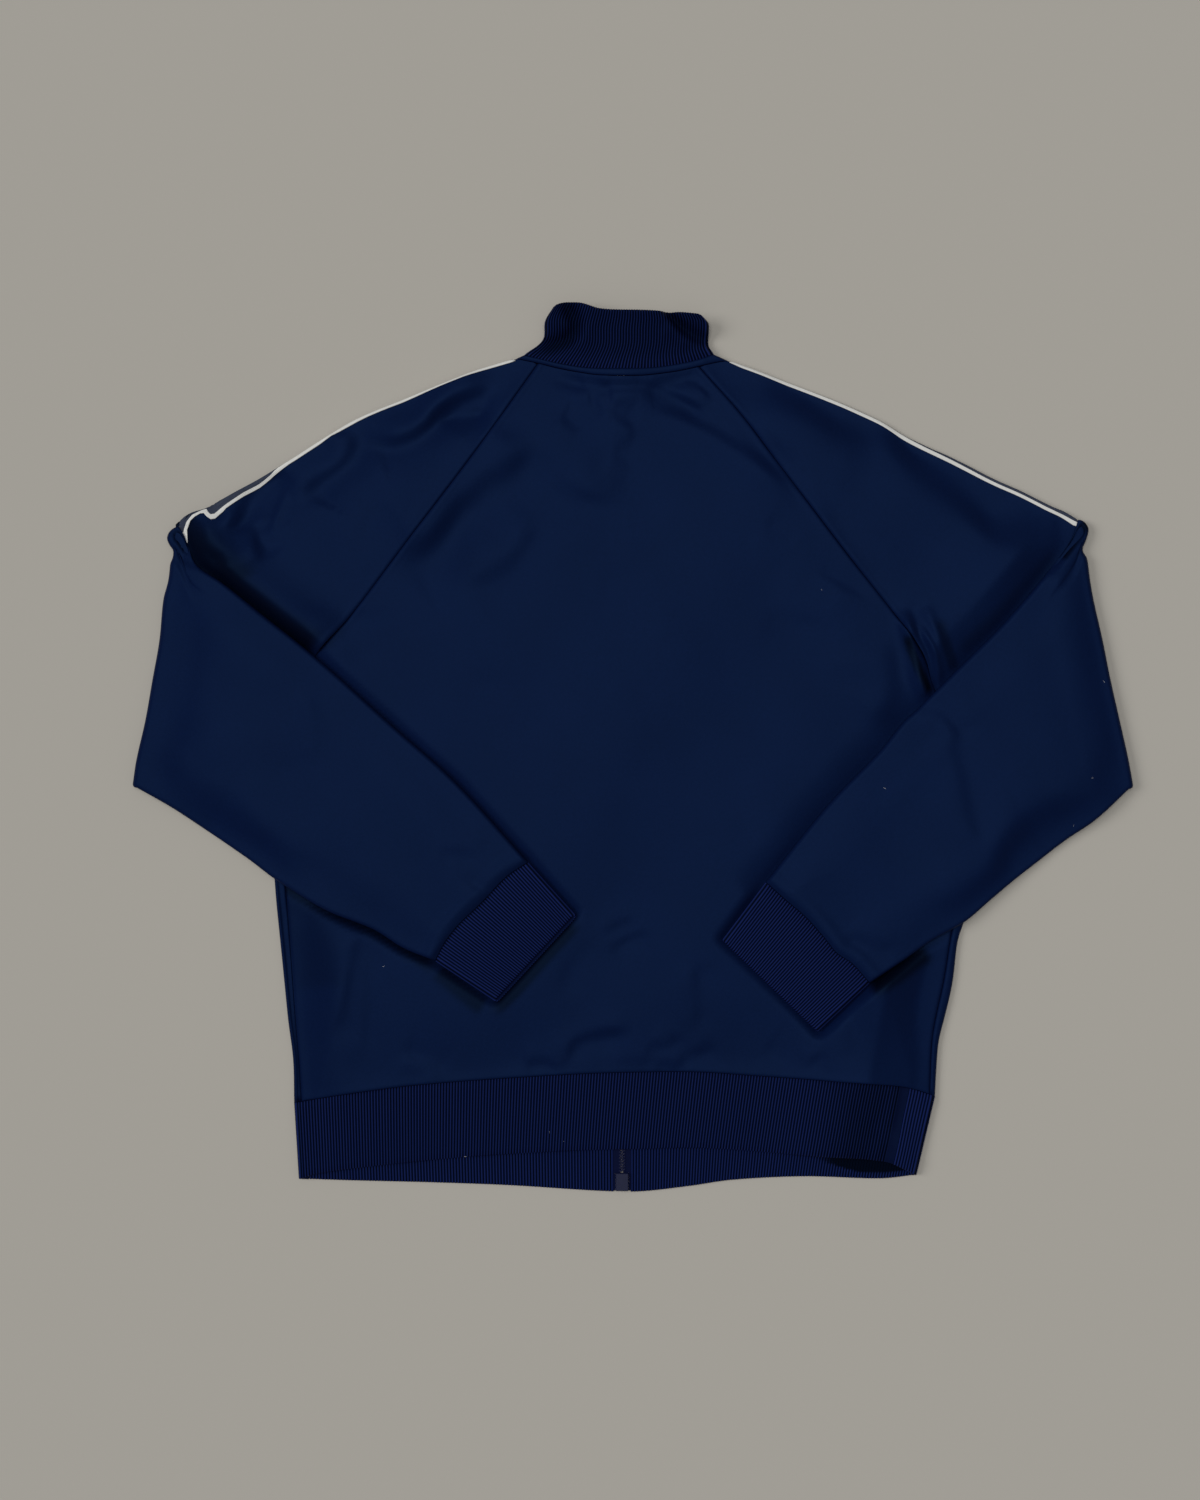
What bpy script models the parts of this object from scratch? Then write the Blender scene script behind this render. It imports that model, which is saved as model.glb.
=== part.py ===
"""A track jacket that lies face down, with its sleeves folded back over its back.

Every cloth piece is a wall. The front panels lie on the ground and turn up round the side edges. The
back panel lies over them. Each raglan sleeve is a flat tube that runs out to the elbow, folds back
over itself and ends in a ribbed cuff on the back. The collar and the hem are ribbed bands. The zip is
done up, its slider at the top of the collar's front, under the back of the neck.

The tables are in millimetres, seen from above: x to the wearer's right, y towards the collar, z up.
"""

import math

import bmesh
import bpy
from mathutils import Vector

MM = 0.001

# The middle of the whole outline, in the tables' own frame. It is the part's origin.
MIDDLE_X = 0.65
MIDDLE_Y = 0.23

# Cloth
KNIT = 1.2
RIB_WALL = 2.2
RIB_PITCH = 2.35
RIB_RELIEF = 0.45
SEAM_GAP = 0.34
LAYER_GAP = 0.7

# Heights of the layers, and how the flat tubes round off at their edges
LOFT = 6.0
EDGE_LOFT = 4.4
EDGE_TAPER = 40.0
EDGE_ROUND = 3.0
SAG_HEIGHT = 1.2
SAG_START = 8.0
SAG_RUN = 60.0
HEM_LOFT = 5.2
CUFF_LOFT = 5.4
COLLAR_LOFT = 6.6
RIB_ROUND = 3.4
NECK_BACK_LENGTH = 172.0
NECK_FRONT_LENGTH = 100.0

# The slider lifts the back of the neck a little
NECK_BUMP_HEIGHT = 2.5
NECK_BUMP_X = -8.0
NECK_BUMP_Y = 293.0
NECK_BUMP_REACH = 27.0

# Zip
ZIP_X = -8.0
ZIP_RECESS = 13.6
BEAD_WIDTH = 5.8
BEAD_THICKNESS = 2.0
ZIP_TAPE_THICKNESS = 0.7
ZIP_BASE = 0.3
ZIP_LIFT = 3.2
ZIP_LIFT_START = 258.0
ZIP_LIFT_END = 288.0
ZIP_LIFT_REACH = 20.0
BOX_WIDTH = 10.2
BOX_LENGTH = 14.2
BOX_THICKNESS = 3.8
SLIDER_WIDTH = 8.4
SLIDER_LENGTH = 11.0
SLIDER_TOP_Y = 302.0
PULL_AXIS_Y = 297.4
PULL_AXIS_Z = 1.45
PULL_LENGTH = 24.0
PULL_WIDTH = 6.0
PULL_THICKNESS = 1.0

# Sleeve tape
TAPE_WIDTH = 24.0
TAPE_THICKNESS = 0.5
TAPE_CLEARANCE = 0.4
TAPE_ROOM = 1.15
TAPE_ROOM_WIDTH = 27.0
TAPE_OVER = (1.0, 0.8, 0.6, 0.45, 0.3, 0.15)
TAPE_UNDER = (0.0, 0.05, 0.1, 0.16, 0.23, 0.42, 0.7, 1.0)
TAPE_SPANS = (1, 1, 1, 4, 4, 4, 3)

# How finely the cloth is divided
BODY_ROWS = 10
RAGLAN_ROWS = 10
FRONT_RAGLAN_ROWS = 6
BACK_COLUMNS = 20
FRONT_COLUMNS = 6
NECK_EDGE_STEPS = 2
RIBS_PER_BAY = 6

# Outlines in plan. Each row is x, y.
SHOULDER = {
    "left": (
        (-92.7, 310.8), (-121.5, 302.0), (-142.3, 294.0), (-181.4, 278.1), (-219.8, 262.1),
        (-246.9, 246.1), (-271.7, 230.1), (-298.1, 214.1), (-319.6, 198.2), (-334.0, 187.8),
        (-346.8, 187.0), (-358.0, 182.2), (-366.0, 175.0),
    ),
    "right": (
        (76.7, 309.2), (96.6, 302.0), (117.4, 294.0), (159.0, 278.1), (194.9, 262.1),
        (222.9, 246.1), (258.0, 230.1), (289.2, 214.1), (318.0, 198.2), (341.9, 187.8),
        (356.0, 182.0),
    ),
}
UNDERARM = {
    "left": ((-293.2, 8.8), (-329.1, -9.6), (-365.1, -24.0), (-398.0, -31.0)),
    "right": ((281.9, -1.6), (317.9, -17.6), (357.8, -27.2), (399.0, -31.8)),
}
SIDE_EDGE = {
    "left": (
        (-270.0, -283.6), (-270.8, -249.2), (-274.8, -217.3), (-278.0, -185.3), (-281.2, -153.4),
        (-284.4, -121.4), (-289.2, -57.5), (-293.2, 8.8),
    ),
    "right": (
        (242.0, -278.0), (243.6, -249.2), (245.2, -233.3), (249.2, -217.3), (253.2, -201.3),
        (256.4, -185.3), (260.4, -153.4), (266.8, -133.4), (274.7, -73.5), (281.9, -1.6),
    ),
}
SIDE_SEAM = {
    "left": (
        (-264.1, -282.4), (-265.7, -256.8), (-268.9, -217.0), (-272.9, -161.1), (-276.0, -121.2),
        (-280.8, -65.4), (-287.0, 18.0),
    ),
    "right": (
        (237.6, -276.4), (239.6, -232.9), (244.0, -208.0), (249.0, -185.2), (256.0, -141.2),
        (266.7, -81.4), (276.0, 4.0),
    ),
}
RAGLAN = {
    "left": (
        (-287.0, 18.0), (-274.5, 38.3), (-253.7, 72.0), (-225.0, 104.7), (-190.7, 149.9),
        (-125.3, 236.1), (-75.1, 306.9),
    ),
    "right": (
        (276.0, 4.0), (257.5, 23.0), (240.8, 48.6), (232.8, 72.6), (214.5, 99.7),
        (171.4, 154.7), (116.4, 227.3), (86.1, 267.2), (53.4, 304.3),
    ),
}
FRONT_RAGLAN = {
    "left": (
        (-290.5, 13.0), (-273.0, 37.0), (-240.0, 80.0), (-190.0, 142.0), (-130.0, 219.0), (-82.0, 280.0),
    ),
    "right": (
        (279.2, 2.4), (262.0, 26.0), (228.0, 72.0), (178.0, 138.0), (118.0, 214.0), (63.0, 280.0),
    ),
}
FOLD = {
    "left": (
        (-370.2, 171.5), (-368.6, 153.1), (-370.2, 134.0), (-374.2, 118.0), (-377.3, 86.1),
        (-382.9, 54.2), (-388.5, 22.3), (-395.7, -9.6), (-398.9, -31.1),
    ),
    "right": (
        (361.2, 171.5), (361.2, 157.0), (364.4, 134.0), (367.6, 118.0), (375.6, 86.1),
        (382.0, 54.2), (389.2, 22.3), (396.3, -9.6), (400.3, -31.9),
    ),
}
FOREARM_TOP = {
    "left": (
        (-365.0, 166.0), (-358.0, 153.5), (-336.2, 137.8), (-302.0, 110.7), (-253.4, 73.3),
        (-187.3, 14.3), (-141.9, -26.3), (-82.9, -90.8),
    ),
    "right": (
        (355.0, 166.0), (335.2, 144.9), (298.5, 101.9), (259.5, 62.9), (241.2, 44.6),
        (227.7, 31.1), (215.7, 20.3), (198.2, -1.6), (156.8, -44.6), (106.6, -106.7),
    ),
}
FOREARM_LOW = {
    "left": (
        (-392.0, -30.0), (-366.6, -47.8), (-340.3, -65.3), (-306.1, -88.5), (-283.8, -105.2),
        (-244.7, -129.1), (-205.7, -145.0), (-182.6, -159.4), (-157.1, -169.7),
    ),
    "right": (
        (394.0, -35.0), (369.6, -57.4), (346.5, -73.3), (325.8, -89.2), (305.1, -105.2),
        (285.9, -121.1), (265.2, -138.6), (237.3, -154.6), (215.8, -169.7), (189.5, -187.3),
    ),
}
CUFF_SEAM = {
    "left": ((-82.9, -90.8), (-100.4, -102.6), (-119.5, -122.5), (-138.6, -140.8), (-149.7, -155.2),
             (-157.1, -169.7)),
    "right": ((106.6, -106.7), (122.4, -120.9), (138.3, -134.5), (152.6, -150.4), (163.0, -163.1),
              (174.9, -171.1), (189.5, -187.3)),
}
CUFF_END = {
    "left": ((-46.3, -131.4), (-110.4, -200.7)),
    "right": ((72.4, -152.1), (148.8, -225.4)),
}
CUFF_LOWER_LAYER_PEEK = {"left": 3.0, "right": 0.6}

BACK_HEM_SEAM = (
    (-270.0, -283.6), (-225.0, -276.0), (-167.6, -268.8), (-52.7, -260.9), (6.3, -258.9),
    (54.2, -258.9), (96.5, -261.7), (157.9, -265.7), (214.5, -270.4), (242.0, -278.0),
)
BACK_HEM_EDGE = (
    (-266.3, -343.6), (-252.2, -339.2), (-213.1, -333.6), (-133.3, -325.6), (-52.7, -320.8),
    (6.3, -319.2), (55.8, -318.4), (137.2, -324.0), (202.6, -329.6), (227.2, -340.4),
)
FRONT_HEM_SEAM = (
    (-270.0, -283.6), (-185.5, -287.1), (-105.6, -290.3), (-25.6, -293.5), (11.2, -293.5),
    (76.7, -286.3), (137.5, -282.3), (199.1, -281.5), (242.0, -278.0),
)
FRONT_HEM_EDGE = (
    (-266.3, -343.6), (-223.9, -345.0), (-159.9, -346.6), (-96.0, -349.0), (-25.6, -353.4),
    (6.4, -353.8), (46.4, -349.4), (79.9, -344.6), (137.5, -341.8), (199.1, -343.4), (227.2, -340.4),
)
PLAIN_STRIP_START = 0.956
PLAIN_STRIP_END = 0.970
HEM_TURN_UNDER = 8.0

BAND_LOW = (
    (-92.7, 310.8), (-75.1, 306.9), (-59.9, 303.1), (-44.3, 299.9), (-24.0, 296.9), (6.3, 296.7),
    (27.0, 299.1), (39.8, 301.3), (53.4, 304.3), (66.1, 307.4), (76.7, 309.2),
)
BAND_TOP = (
    (-86.2, 313.8), (-71.1, 309.9), (-54.5, 306.3), (-34.4, 303.3), (-10.0, 302.7), (14.3, 303.3),
    (35.8, 306.3), (52.3, 309.9), (65.1, 314.4),
)
COLLAR_TOP = (
    (-63.1, 350.1), (-53.5, 354.1), (-41.6, 353.3), (-25.6, 348.5), (14.3, 347.0), (51.8, 344.6),
    (57.4, 342.2),
)
COLLAR_FOLD = {
    "left": ((-86.2, 313.8), (-71.1, 326.0), (-69.5, 339.9), (-63.1, 350.1)),
    "right": ((65.1, 314.4), (61.0, 321.6), (61.0, 337.6), (57.4, 342.2)),
}
FRONT_BAND_LOW = {
    "left": ((-92.7, 310.8), (-90.0, 295.0), (-82.0, 280.0), (-65.0, 262.5), (-39.0, 253.6), (-14.8, 252.0)),
    "right": ((76.7, 309.2), (72.0, 294.0), (63.0, 280.0), (46.0, 262.5), (22.0, 253.6), (-1.2, 252.0)),
}
FRONT_BAND_TOP = {
    "left": ((-86.2, 313.8), (-84.0, 297.0), (-76.6, 283.0), (-61.0, 268.0), (-37.0, 259.4), (-14.8, 258.0)),
    "right": ((65.1, 314.4), (64.5, 297.0), (57.5, 283.0), (42.5, 268.0), (20.0, 259.4), (-1.2, 258.0)),
}
FRONT_COLLAR_TOP = {
    "left": ((-63.1, 350.1), (-58.0, 331.0), (-46.0, 315.0), (-29.0, 305.6), (-14.8, 303.0)),
    "right": ((57.4, 342.2), (51.0, 326.0), (37.0, 312.0), (17.0, 304.6), (-1.2, 303.0)),
}

# Soft folds in the cloth that lies on top. Each row is x0, y0, x1, y1, half width, depth.
BODY_FOLDS = (
    (-89.6, 232.0, -134.0, 196.0, 15.0, -1.5),
    (-134.0, 196.0, -186.0, 146.0, 15.0, -1.7),
    (-91.0, 150.0, -136.0, 130.0, 16.0, -0.8),
    (27.0, 268.0, 68.0, 250.0, 12.0, -1.3),
    (68.0, 250.0, 101.0, 228.0, 14.0, -1.4),
    (113.0, 175.0, 184.0, 120.0, 18.0, -0.9),
    (-224.0, -154.0, -236.0, -214.0, 16.0, -1.2),
    (206.0, -184.0, 218.0, -262.0, 18.0, -1.6),
    (-45.0, -226.0, -7.0, -222.0, 12.0, -1.2),
    (207.0, 79.0, 194.0, 24.0, 16.0, -1.3),
    (20.0, -228.0, 56.0, -238.0, 14.0, -0.9),
    (-50.0, -168.0, 6.0, -146.0, 18.0, -0.8),
)
UPPER_ARM_FOLDS = {
    "left": (
        (-118.0, 276.0, -168.0, 250.0, 15.0, -1.3),
        (-168.0, 250.0, -206.0, 243.0, 14.0, -1.2),
        (-220.0, 252.0, -256.0, 210.0, 16.0, -1.0),
        (-350.0, 152.0, -300.0, 126.0, 15.0, -1.4),
        (-300.0, 126.0, -254.0, 92.0, 15.0, -1.3),
    ),
    "right": (
        (107.0, 288.0, 160.0, 260.0, 15.0, -1.1),
        (160.0, 260.0, 221.0, 228.0, 16.0, -1.4),
        (221.0, 228.0, 293.0, 166.0, 18.0, -1.3),
        (318.0, 124.0, 262.0, 84.0, 16.0, -1.4),
    ),
}
FOREARM_FOLDS = {
    "left": (
        (-330.0, -30.0, -280.0, -60.0, 26.0, -1.0),
        (-300.0, 40.0, -250.0, 0.0, 30.0, 0.8),
    ),
    "right": (
        (231.0, 31.0, 252.0, 20.0, 10.0, -1.4),
        (252.0, 20.0, 262.0, -14.0, 12.0, -1.5),
        (262.0, -14.0, 270.0, -60.0, 15.0, -1.1),
        (378.0, -36.0, 326.0, -60.0, 14.0, -1.2),
        (326.0, -60.0, 290.0, -100.0, 14.0, -1.4),
    ),
}
COLLAR_FOLDS = (
    (-47.0, 344.0, -52.0, 332.0, 6.0, -1.5),
    (-52.0, 332.0, -58.0, 325.0, 6.0, -1.7),
    (-58.0, 325.0, -70.0, 319.5, 5.0, -1.4),
    (24.0, 342.0, 36.0, 332.0, 5.0, -1.3),
    (36.0, 332.0, 61.0, 320.5, 5.0, -1.7),
)

# Where the tape's back edge lies at each step down the upper arm, from the shoulder edge: negative is
# on the back of the arm. Each row is step, offset.
TAPE_EDGE = {
    "left": ((0.0, -1.2), (0.70, -1.4), (0.80, -5.0), (0.90, -9.0), (1.0, -11.0)),
    "right": ((0.0, -1.2), (0.50, -1.4), (0.62, -4.0), (0.90, -5.2), (1.0, -5.5)),
}

UPPER_STEPS = (0.0, 0.14, 0.30, 0.46, 0.62, 0.78, 0.90, 1.0)
FOLD_TURNS = (36.0, 72.0, 108.0, 144.0)
FOREARM_STEPS = (0.0, 0.10, 0.24, 0.38, 0.52, 0.66, 0.80, 0.92, 1.0)
ROUND_TURNS = (42.0, 90.0, 138.0)

# Colours: red, green, blue, in linear light
NAVY = (0.010, 0.014, 0.060)
NAVY_RIB = (0.009, 0.013, 0.055)
SLATE = (0.030, 0.040, 0.065)
ZIP_NAVY = (0.012, 0.016, 0.055)
ZIP_METAL = (0.30, 0.30, 0.33)


def smooth(t):
    t = min(max(t, 0.0), 1.0)
    return t * t * (3.0 - 2.0 * t)


def mix(a, b, t):
    return a + (b - a) * t


def vectors(table):
    return [Vector(row) for row in table]


def chords(points):
    """How far along the polyline each of its points lies, from 0 to 1."""
    reach = [0.0]
    for first, second in zip(points, points[1:]):
        reach.append(reach[-1] + (second - first).length)
    return [value / reach[-1] for value in reach]


def at(points, t):
    """The place a fraction t along a polyline."""
    reach = chords(points)
    for index in range(len(points) - 1):
        if t <= reach[index + 1] or index == len(points) - 2:
            part = (t - reach[index]) / max(reach[index + 1] - reach[index], 1e-9)
            return mix(points[index], points[index + 1], part)
    return points[-1]


def curve(points, t):
    """The place a fraction t along the smooth line through the points."""
    reach = chords(points)
    last = len(points) - 1
    index = 0
    while index < last - 1 and t > reach[index + 1]:
        index += 1
    span = reach[index + 1] - reach[index]

    def slope(k):
        low = max(k - 1, 0)
        high = min(k + 1, last)
        return (points[high] - points[low]) / (reach[high] - reach[low])

    part = (t - reach[index]) / span
    square = part * part
    cube = square * part
    start = points[index] * (2.0 * cube - 3.0 * square + 1.0)
    end = points[index + 1] * (3.0 * square - 2.0 * cube)
    leave = slope(index) * span * (cube - 2.0 * square + part)
    arrive = slope(index + 1) * span * (cube - square)
    return start + end + leave + arrive


def samples(table, steps, low=0.0, high=1.0):
    points = vectors(table)
    return [curve(points, mix(low, high, k / steps)) for k in range(steps + 1)]


def shifted(points, distance):
    """The polyline moved to the left of its own direction."""
    moved = []
    for index, place in enumerate(points):
        before = points[max(index - 1, 0)]
        after = points[min(index + 1, len(points) - 1)]
        ahead = (after - place).normalized() if after != place else (place - before).normalized()
        behind = (place - before).normalized() if place != before else ahead
        normal = Vector((-(ahead.y + behind.y), ahead.x + behind.x)).normalized()
        open_angle = max(normal.dot(Vector((-ahead.y, ahead.x))), 0.5)
        moved.append(place + normal * (distance / open_angle))
    return moved


def segment_distance(x, y, x0, y0, x1, y1):
    dx = x1 - x0
    dy = y1 - y0
    part = ((x - x0) * dx + (y - y0) * dy) / (dx * dx + dy * dy)
    part = min(max(part, 0.0), 1.0)
    return math.hypot(x - x0 - part * dx, y - y0 - part * dy)


def line_distance(table, x, y):
    return min(
        segment_distance(x, y, first[0], first[1], second[0], second[1])
        for first, second in zip(table, table[1:])
    )


def nearest_step(table, place):
    points = vectors(table)
    return min((k / 600.0 for k in range(601)), key=lambda t: (curve(points, t) - place).length)


def step_at_x(points, x):
    """How far along a polyline, from 0 to 1, it reaches x."""
    reach = chords(points)
    for index in range(len(points) - 1):
        low, high = points[index].x, points[index + 1].x
        if min(low, high) <= x <= max(low, high):
            return mix(reach[index], reach[index + 1], (x - low) / (high - low))
    return 0.0 if abs(points[0].x - x) < abs(points[-1].x - x) else 1.0


def inside(outline, x, y):
    found = False
    for first, second in zip(outline, outline[1:] + outline[:1]):
        if (first[1] > y) != (second[1] > y):
            if x < first[0] + (y - first[1]) / (second[1] - first[1]) * (second[0] - first[0]):
                found = not found
    return found


LOWER_LAYER_EDGES = [
    table[side] for table in (SHOULDER, UNDERARM, SIDE_EDGE) for side in ("left", "right")
]
LOWER_LAYER_OUTLINE = (
    list(SHOULDER["left"])
    + list(FOLD["left"])
    + list(reversed(UNDERARM["left"]))
    + list(reversed(SIDE_EDGE["left"]))
    + list(SIDE_EDGE["right"])
    + list(UNDERARM["right"])
    + list(reversed(FOLD["right"]))
    + list(reversed(SHOULDER["right"]))
)


def folds(table, x, y):
    """The height that the soft folds in a table add at a place."""
    total = 0.0
    for x0, y0, x1, y1, half_width, depth in table:
        away = segment_distance(x, y, x0, y0, x1, y1) / half_width
        if away < 2.6:
            total += depth * math.exp(-away * away)
    return total


def neck_bump(x, y):
    away = math.hypot(x - NECK_BUMP_X, y - NECK_BUMP_Y) / NECK_BUMP_REACH
    return NECK_BUMP_HEIGHT * math.exp(-away * away)


def edge_distance(x, y):
    return min(line_distance(table, x, y) for table in LOWER_LAYER_EDGES)


def plain_top(x, y):
    """Top of the lower layer, before its soft folds."""
    return mix(EDGE_LOFT, LOFT, smooth(edge_distance(x, y) / EDGE_TAPER)) + neck_bump(x, y)


def top(x, y, extra=()):
    lowest = 2.0 * KNIT + 0.4
    return max(plain_top(x, y) + max(folds(BODY_FOLDS, x, y) + folds(extra, x, y), -2.6), lowest)


def resting(x, y):
    """Underside of a forearm: just over the lower layer, sagging towards the ground past its edge."""
    if inside(LOWER_LAYER_OUTLINE, x, y):
        return plain_top(x, y) + LAYER_GAP
    sag = smooth((edge_distance(x, y) - SAG_START) / SAG_RUN)
    return mix(EDGE_LOFT + LAYER_GAP, SAG_HEIGHT, sag)


def zip_lift(x, y):
    along = smooth((y - ZIP_LIFT_START) / (ZIP_LIFT_END - ZIP_LIFT_START))
    away = max(abs(x - ZIP_X) - 0.5 * ZIP_RECESS, 0.0) / ZIP_LIFT_REACH
    return ZIP_LIFT * along * math.exp(-away * away)


def patch(first, last, start, end, s, w):
    """A place on the surface between four lines: first and last follow w, start and end follow s."""
    across = mix(first(w), last(w), s)
    along = mix(start(s), end(s), w)
    corners = mix(mix(first(0.0), first(1.0), w), mix(last(0.0), last(1.0), w), s)
    return across + along - corners


def place3(plan, z):
    return Vector((plan.x, plan.y, z))


def cloth_material(name, colour, roughness, metallic=0.0):
    material = bpy.data.materials.new(name)
    material.use_nodes = True
    shader = material.node_tree.nodes["Principled BSDF"]
    shader.inputs["Base Color"].default_value = (*colour, 1.0)
    shader.inputs["Roughness"].default_value = roughness
    shader.inputs["Metallic"].default_value = metallic
    material.diffuse_color = (*colour, 1.0)
    return material


def add_object(name, mesh, colour, roughness=0.85, metallic=0.0):
    mesh.materials.append(cloth_material(name, colour, roughness, metallic))
    made = bpy.data.objects.new(name, mesh)
    made.location = Vector((-MIDDLE_X, -MIDDLE_Y, 0.0)) * MM
    JACKET.objects.link(made)
    return made


def mesh_of(name, points, faces):
    mesh = bpy.data.meshes.new(name)
    mesh.from_pydata([point * MM for point in points], [], faces)
    mesh.update()
    return mesh


def sheet(name, rows, colour, thickness=KNIT, closed=False, flip=False):
    """Cloth made from rows of points on its outer side, thickened inwards."""
    points = [point for row in rows for point in row if point is not None]
    index = {}
    for r, row in enumerate(rows):
        for c, point in enumerate(row):
            if point is not None:
                index[r, c] = len(index)
    faces = []
    for r in range(len(rows) - 1):
        count = len(rows[r])
        for c in range(count if closed else count - 1):
            d = (c + 1) % count
            corners = [(r, c), (r, d), (r + 1, d), (r + 1, c)]
            if all(corner in index for corner in corners):
                face = [index[corner] for corner in corners]
                faces.append(face[::-1] if flip else face)
    made = add_object(name, mesh_of(name, points, faces), colour)
    solidify = made.modifiers.new("Thickness", "SOLIDIFY")
    solidify.thickness = thickness * MM
    solidify.offset = -1.0
    return made


def ribbed_wall(name, outer, inner, bays, colour, closed=False):
    """A wall from columns of outer and inner points. A bay joins a run of each at both edges."""
    height = len(outer[0])
    points = [point for column in outer for point in column]
    base = len(points)
    points += [point for column in inner for point in column]

    def spot(wall, column, row):
        columns = outer if wall == 0 else inner
        return base * wall + (column % len(columns)) * height + row

    faces = []
    for wall, columns in enumerate((outer, inner)):
        for c in range(len(columns) if closed else len(columns) - 1):
            for row in range(height - 1):
                faces.append([
                    spot(wall, c, row), spot(wall, c + 1, row),
                    spot(wall, c + 1, row + 1), spot(wall, c, row + 1),
                ])
    for outer_first, outer_last, inner_first, inner_last in bays:
        for row in (0, height - 1):
            rim = [spot(0, c, row) for c in range(outer_first, outer_last + 1)]
            rim += [spot(1, c, row) for c in range(inner_last, inner_first - 1, -1)]
            faces.append(rim)
    if not closed:
        for outer_column, inner_column in ((0, 0), (len(outer) - 1, len(inner) - 1)):
            for row in range(height - 1):
                faces.append([
                    spot(0, outer_column, row), spot(0, outer_column, row + 1),
                    spot(1, inner_column, row + 1), spot(1, inner_column, row),
                ])
    mesh = mesh_of(name, points, faces)
    shape = bmesh.new()
    shape.from_mesh(mesh)
    bmesh.ops.recalc_face_normals(shape, faces=shape.faces)
    shape.to_mesh(mesh)
    shape.free()
    return add_object(name, mesh, colour, 0.9)


class Side:
    """The seams that one side's panels, sleeve and neck share."""

    def __init__(self, name):
        self.name = name
        self.sign = -1.0 if name == "left" else 1.0
        half_gap = 0.5 * SEAM_GAP
        self.edge = samples(SIDE_EDGE[name], BODY_ROWS)
        self.seam = samples(SIDE_SEAM[name], BODY_ROWS)
        raglan = samples(RAGLAN[name], RAGLAN_ROWS)
        front_raglan = samples(FRONT_RAGLAN[name], FRONT_RAGLAN_ROWS)
        self.body_line = shifted(self.seam + raglan[1:], self.sign * half_gap)
        self.strip_line = shifted(self.seam, -self.sign * half_gap)
        self.strip_line[-1] = self.strip_line[-1] - Vector((0.0, half_gap))
        self.front_line = shifted(front_raglan, self.sign * half_gap)
        corner = nearest_step(BAND_LOW, raglan[-1])
        self.neck_steps = [corner * k / NECK_EDGE_STEPS for k in range(NECK_EDGE_STEPS + 1)]
        if name == "right":
            self.neck_steps = [mix(1.0, corner, k / NECK_EDGE_STEPS) for k in range(NECK_EDGE_STEPS + 1)]
        front_corner = nearest_step(FRONT_BAND_LOW[name], front_raglan[-1])
        self.front_corner = front_corner
        band = vectors(FRONT_BAND_LOW[name])
        band_length = sum((second - first).length for first, second in zip(band, band[1:]))
        self.front_neck_steps = [0.0, TAPE_ROOM_WIDTH / band_length, front_corner]
        neck = [curve(vectors(BAND_LOW), t) for t in self.neck_steps]
        front_neck = [curve(vectors(FRONT_BAND_LOW[name]), t) for t in self.front_neck_steps]
        out = -self.sign * half_gap
        back = neck[:-1] + raglan[::-1] + [self.edge[-1]]
        front = front_neck[:-1] + front_raglan[::-1] + [self.edge[-1]]
        self.sleeve_back = shifted(back, -out)
        self.sleeve_front = shifted(front, -out)
        clear = Vector((self.sign * 0.6, 0.6))
        self.sleeve_back[-2] = self.sleeve_back[-2] + clear
        self.sleeve_front[-2] = self.sleeve_front[-2] + clear
        self.sleeve_back[-1] = self.edge[-1] + clear
        self.sleeve_front[-1] = self.sleeve_back[-1]
        self.sleeve_back[0] = self.sleeve_back[0] + Vector((self.sign * 0.6, -0.5))
        self.sleeve_back[1] = self.sleeve_back[1] + Vector((0.0, -0.3))
        self.sleeve_front[0] = self.sleeve_back[0]


def hem_lines(left, right):
    """The hem's long lines as polylines: the seams with the panels, and the free edges."""
    low = nearest_step(BACK_HEM_SEAM, left.seam[0])
    high = nearest_step(BACK_HEM_SEAM, right.seam[0])
    back = samples(BACK_HEM_SEAM, BACK_COLUMNS, low, high)
    back = [Vector(BACK_HEM_SEAM[0])] + back + [Vector(BACK_HEM_SEAM[-1])]
    whole = samples(FRONT_HEM_SEAM, 120)
    centre = [step_at_x(whole, ZIP_X + side.sign * 0.5 * ZIP_RECESS) for side in (left, right)]
    front = [at(whole, centre[0] * k / FRONT_COLUMNS) for k in range(FRONT_COLUMNS + 1)]
    front += [at(whole, mix(centre[1], 1.0, k / FRONT_COLUMNS)) for k in range(FRONT_COLUMNS + 1)]
    return {
        "back seam": back, "back edge": samples(BACK_HEM_EDGE, 24),
        "front seam": front, "front edge": samples(FRONT_HEM_EDGE, 24),
    }


def round_columns(first_low, end, order):
    """Ring columns round a flat tube's edge, as line, end, inset, share of the height."""
    turned = []
    for angle in ROUND_TURNS if order > 0 else reversed(ROUND_TURNS):
        inset = EDGE_ROUND * (1.0 - math.sin(math.radians(angle)))
        share = 0.5 + 0.5 * math.cos(math.radians(angle))
        turned.append((share < 0.5, end, inset, share))
    return turned


def sleeve_columns(side):
    """The columns of a sleeve's ring, each as front side, fraction, inset, share of the height."""
    back = chords(side.sleeve_back)[1:-1]
    front = chords(side.sleeve_front)[1:-1]
    columns = [(False, 0.0, EDGE_ROUND, 1.0)]
    columns += [(False, fraction, 0.0, 1.0) for fraction in back]
    columns += [(False, 1.0, EDGE_ROUND, 1.0)]
    columns += round_columns(False, 1.0, 1)
    columns += [(True, 1.0, EDGE_ROUND, 0.0)]
    columns += [(True, fraction, 0.0, 0.0) for fraction in reversed(front[1:-1])]
    columns += [(True, 0.0, TAPE_ROOM_WIDTH, 0.0)]
    columns += [(True, 0.0, EDGE_ROUND, 0.0)]
    columns += round_columns(True, 0.0, -1)
    return columns


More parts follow.
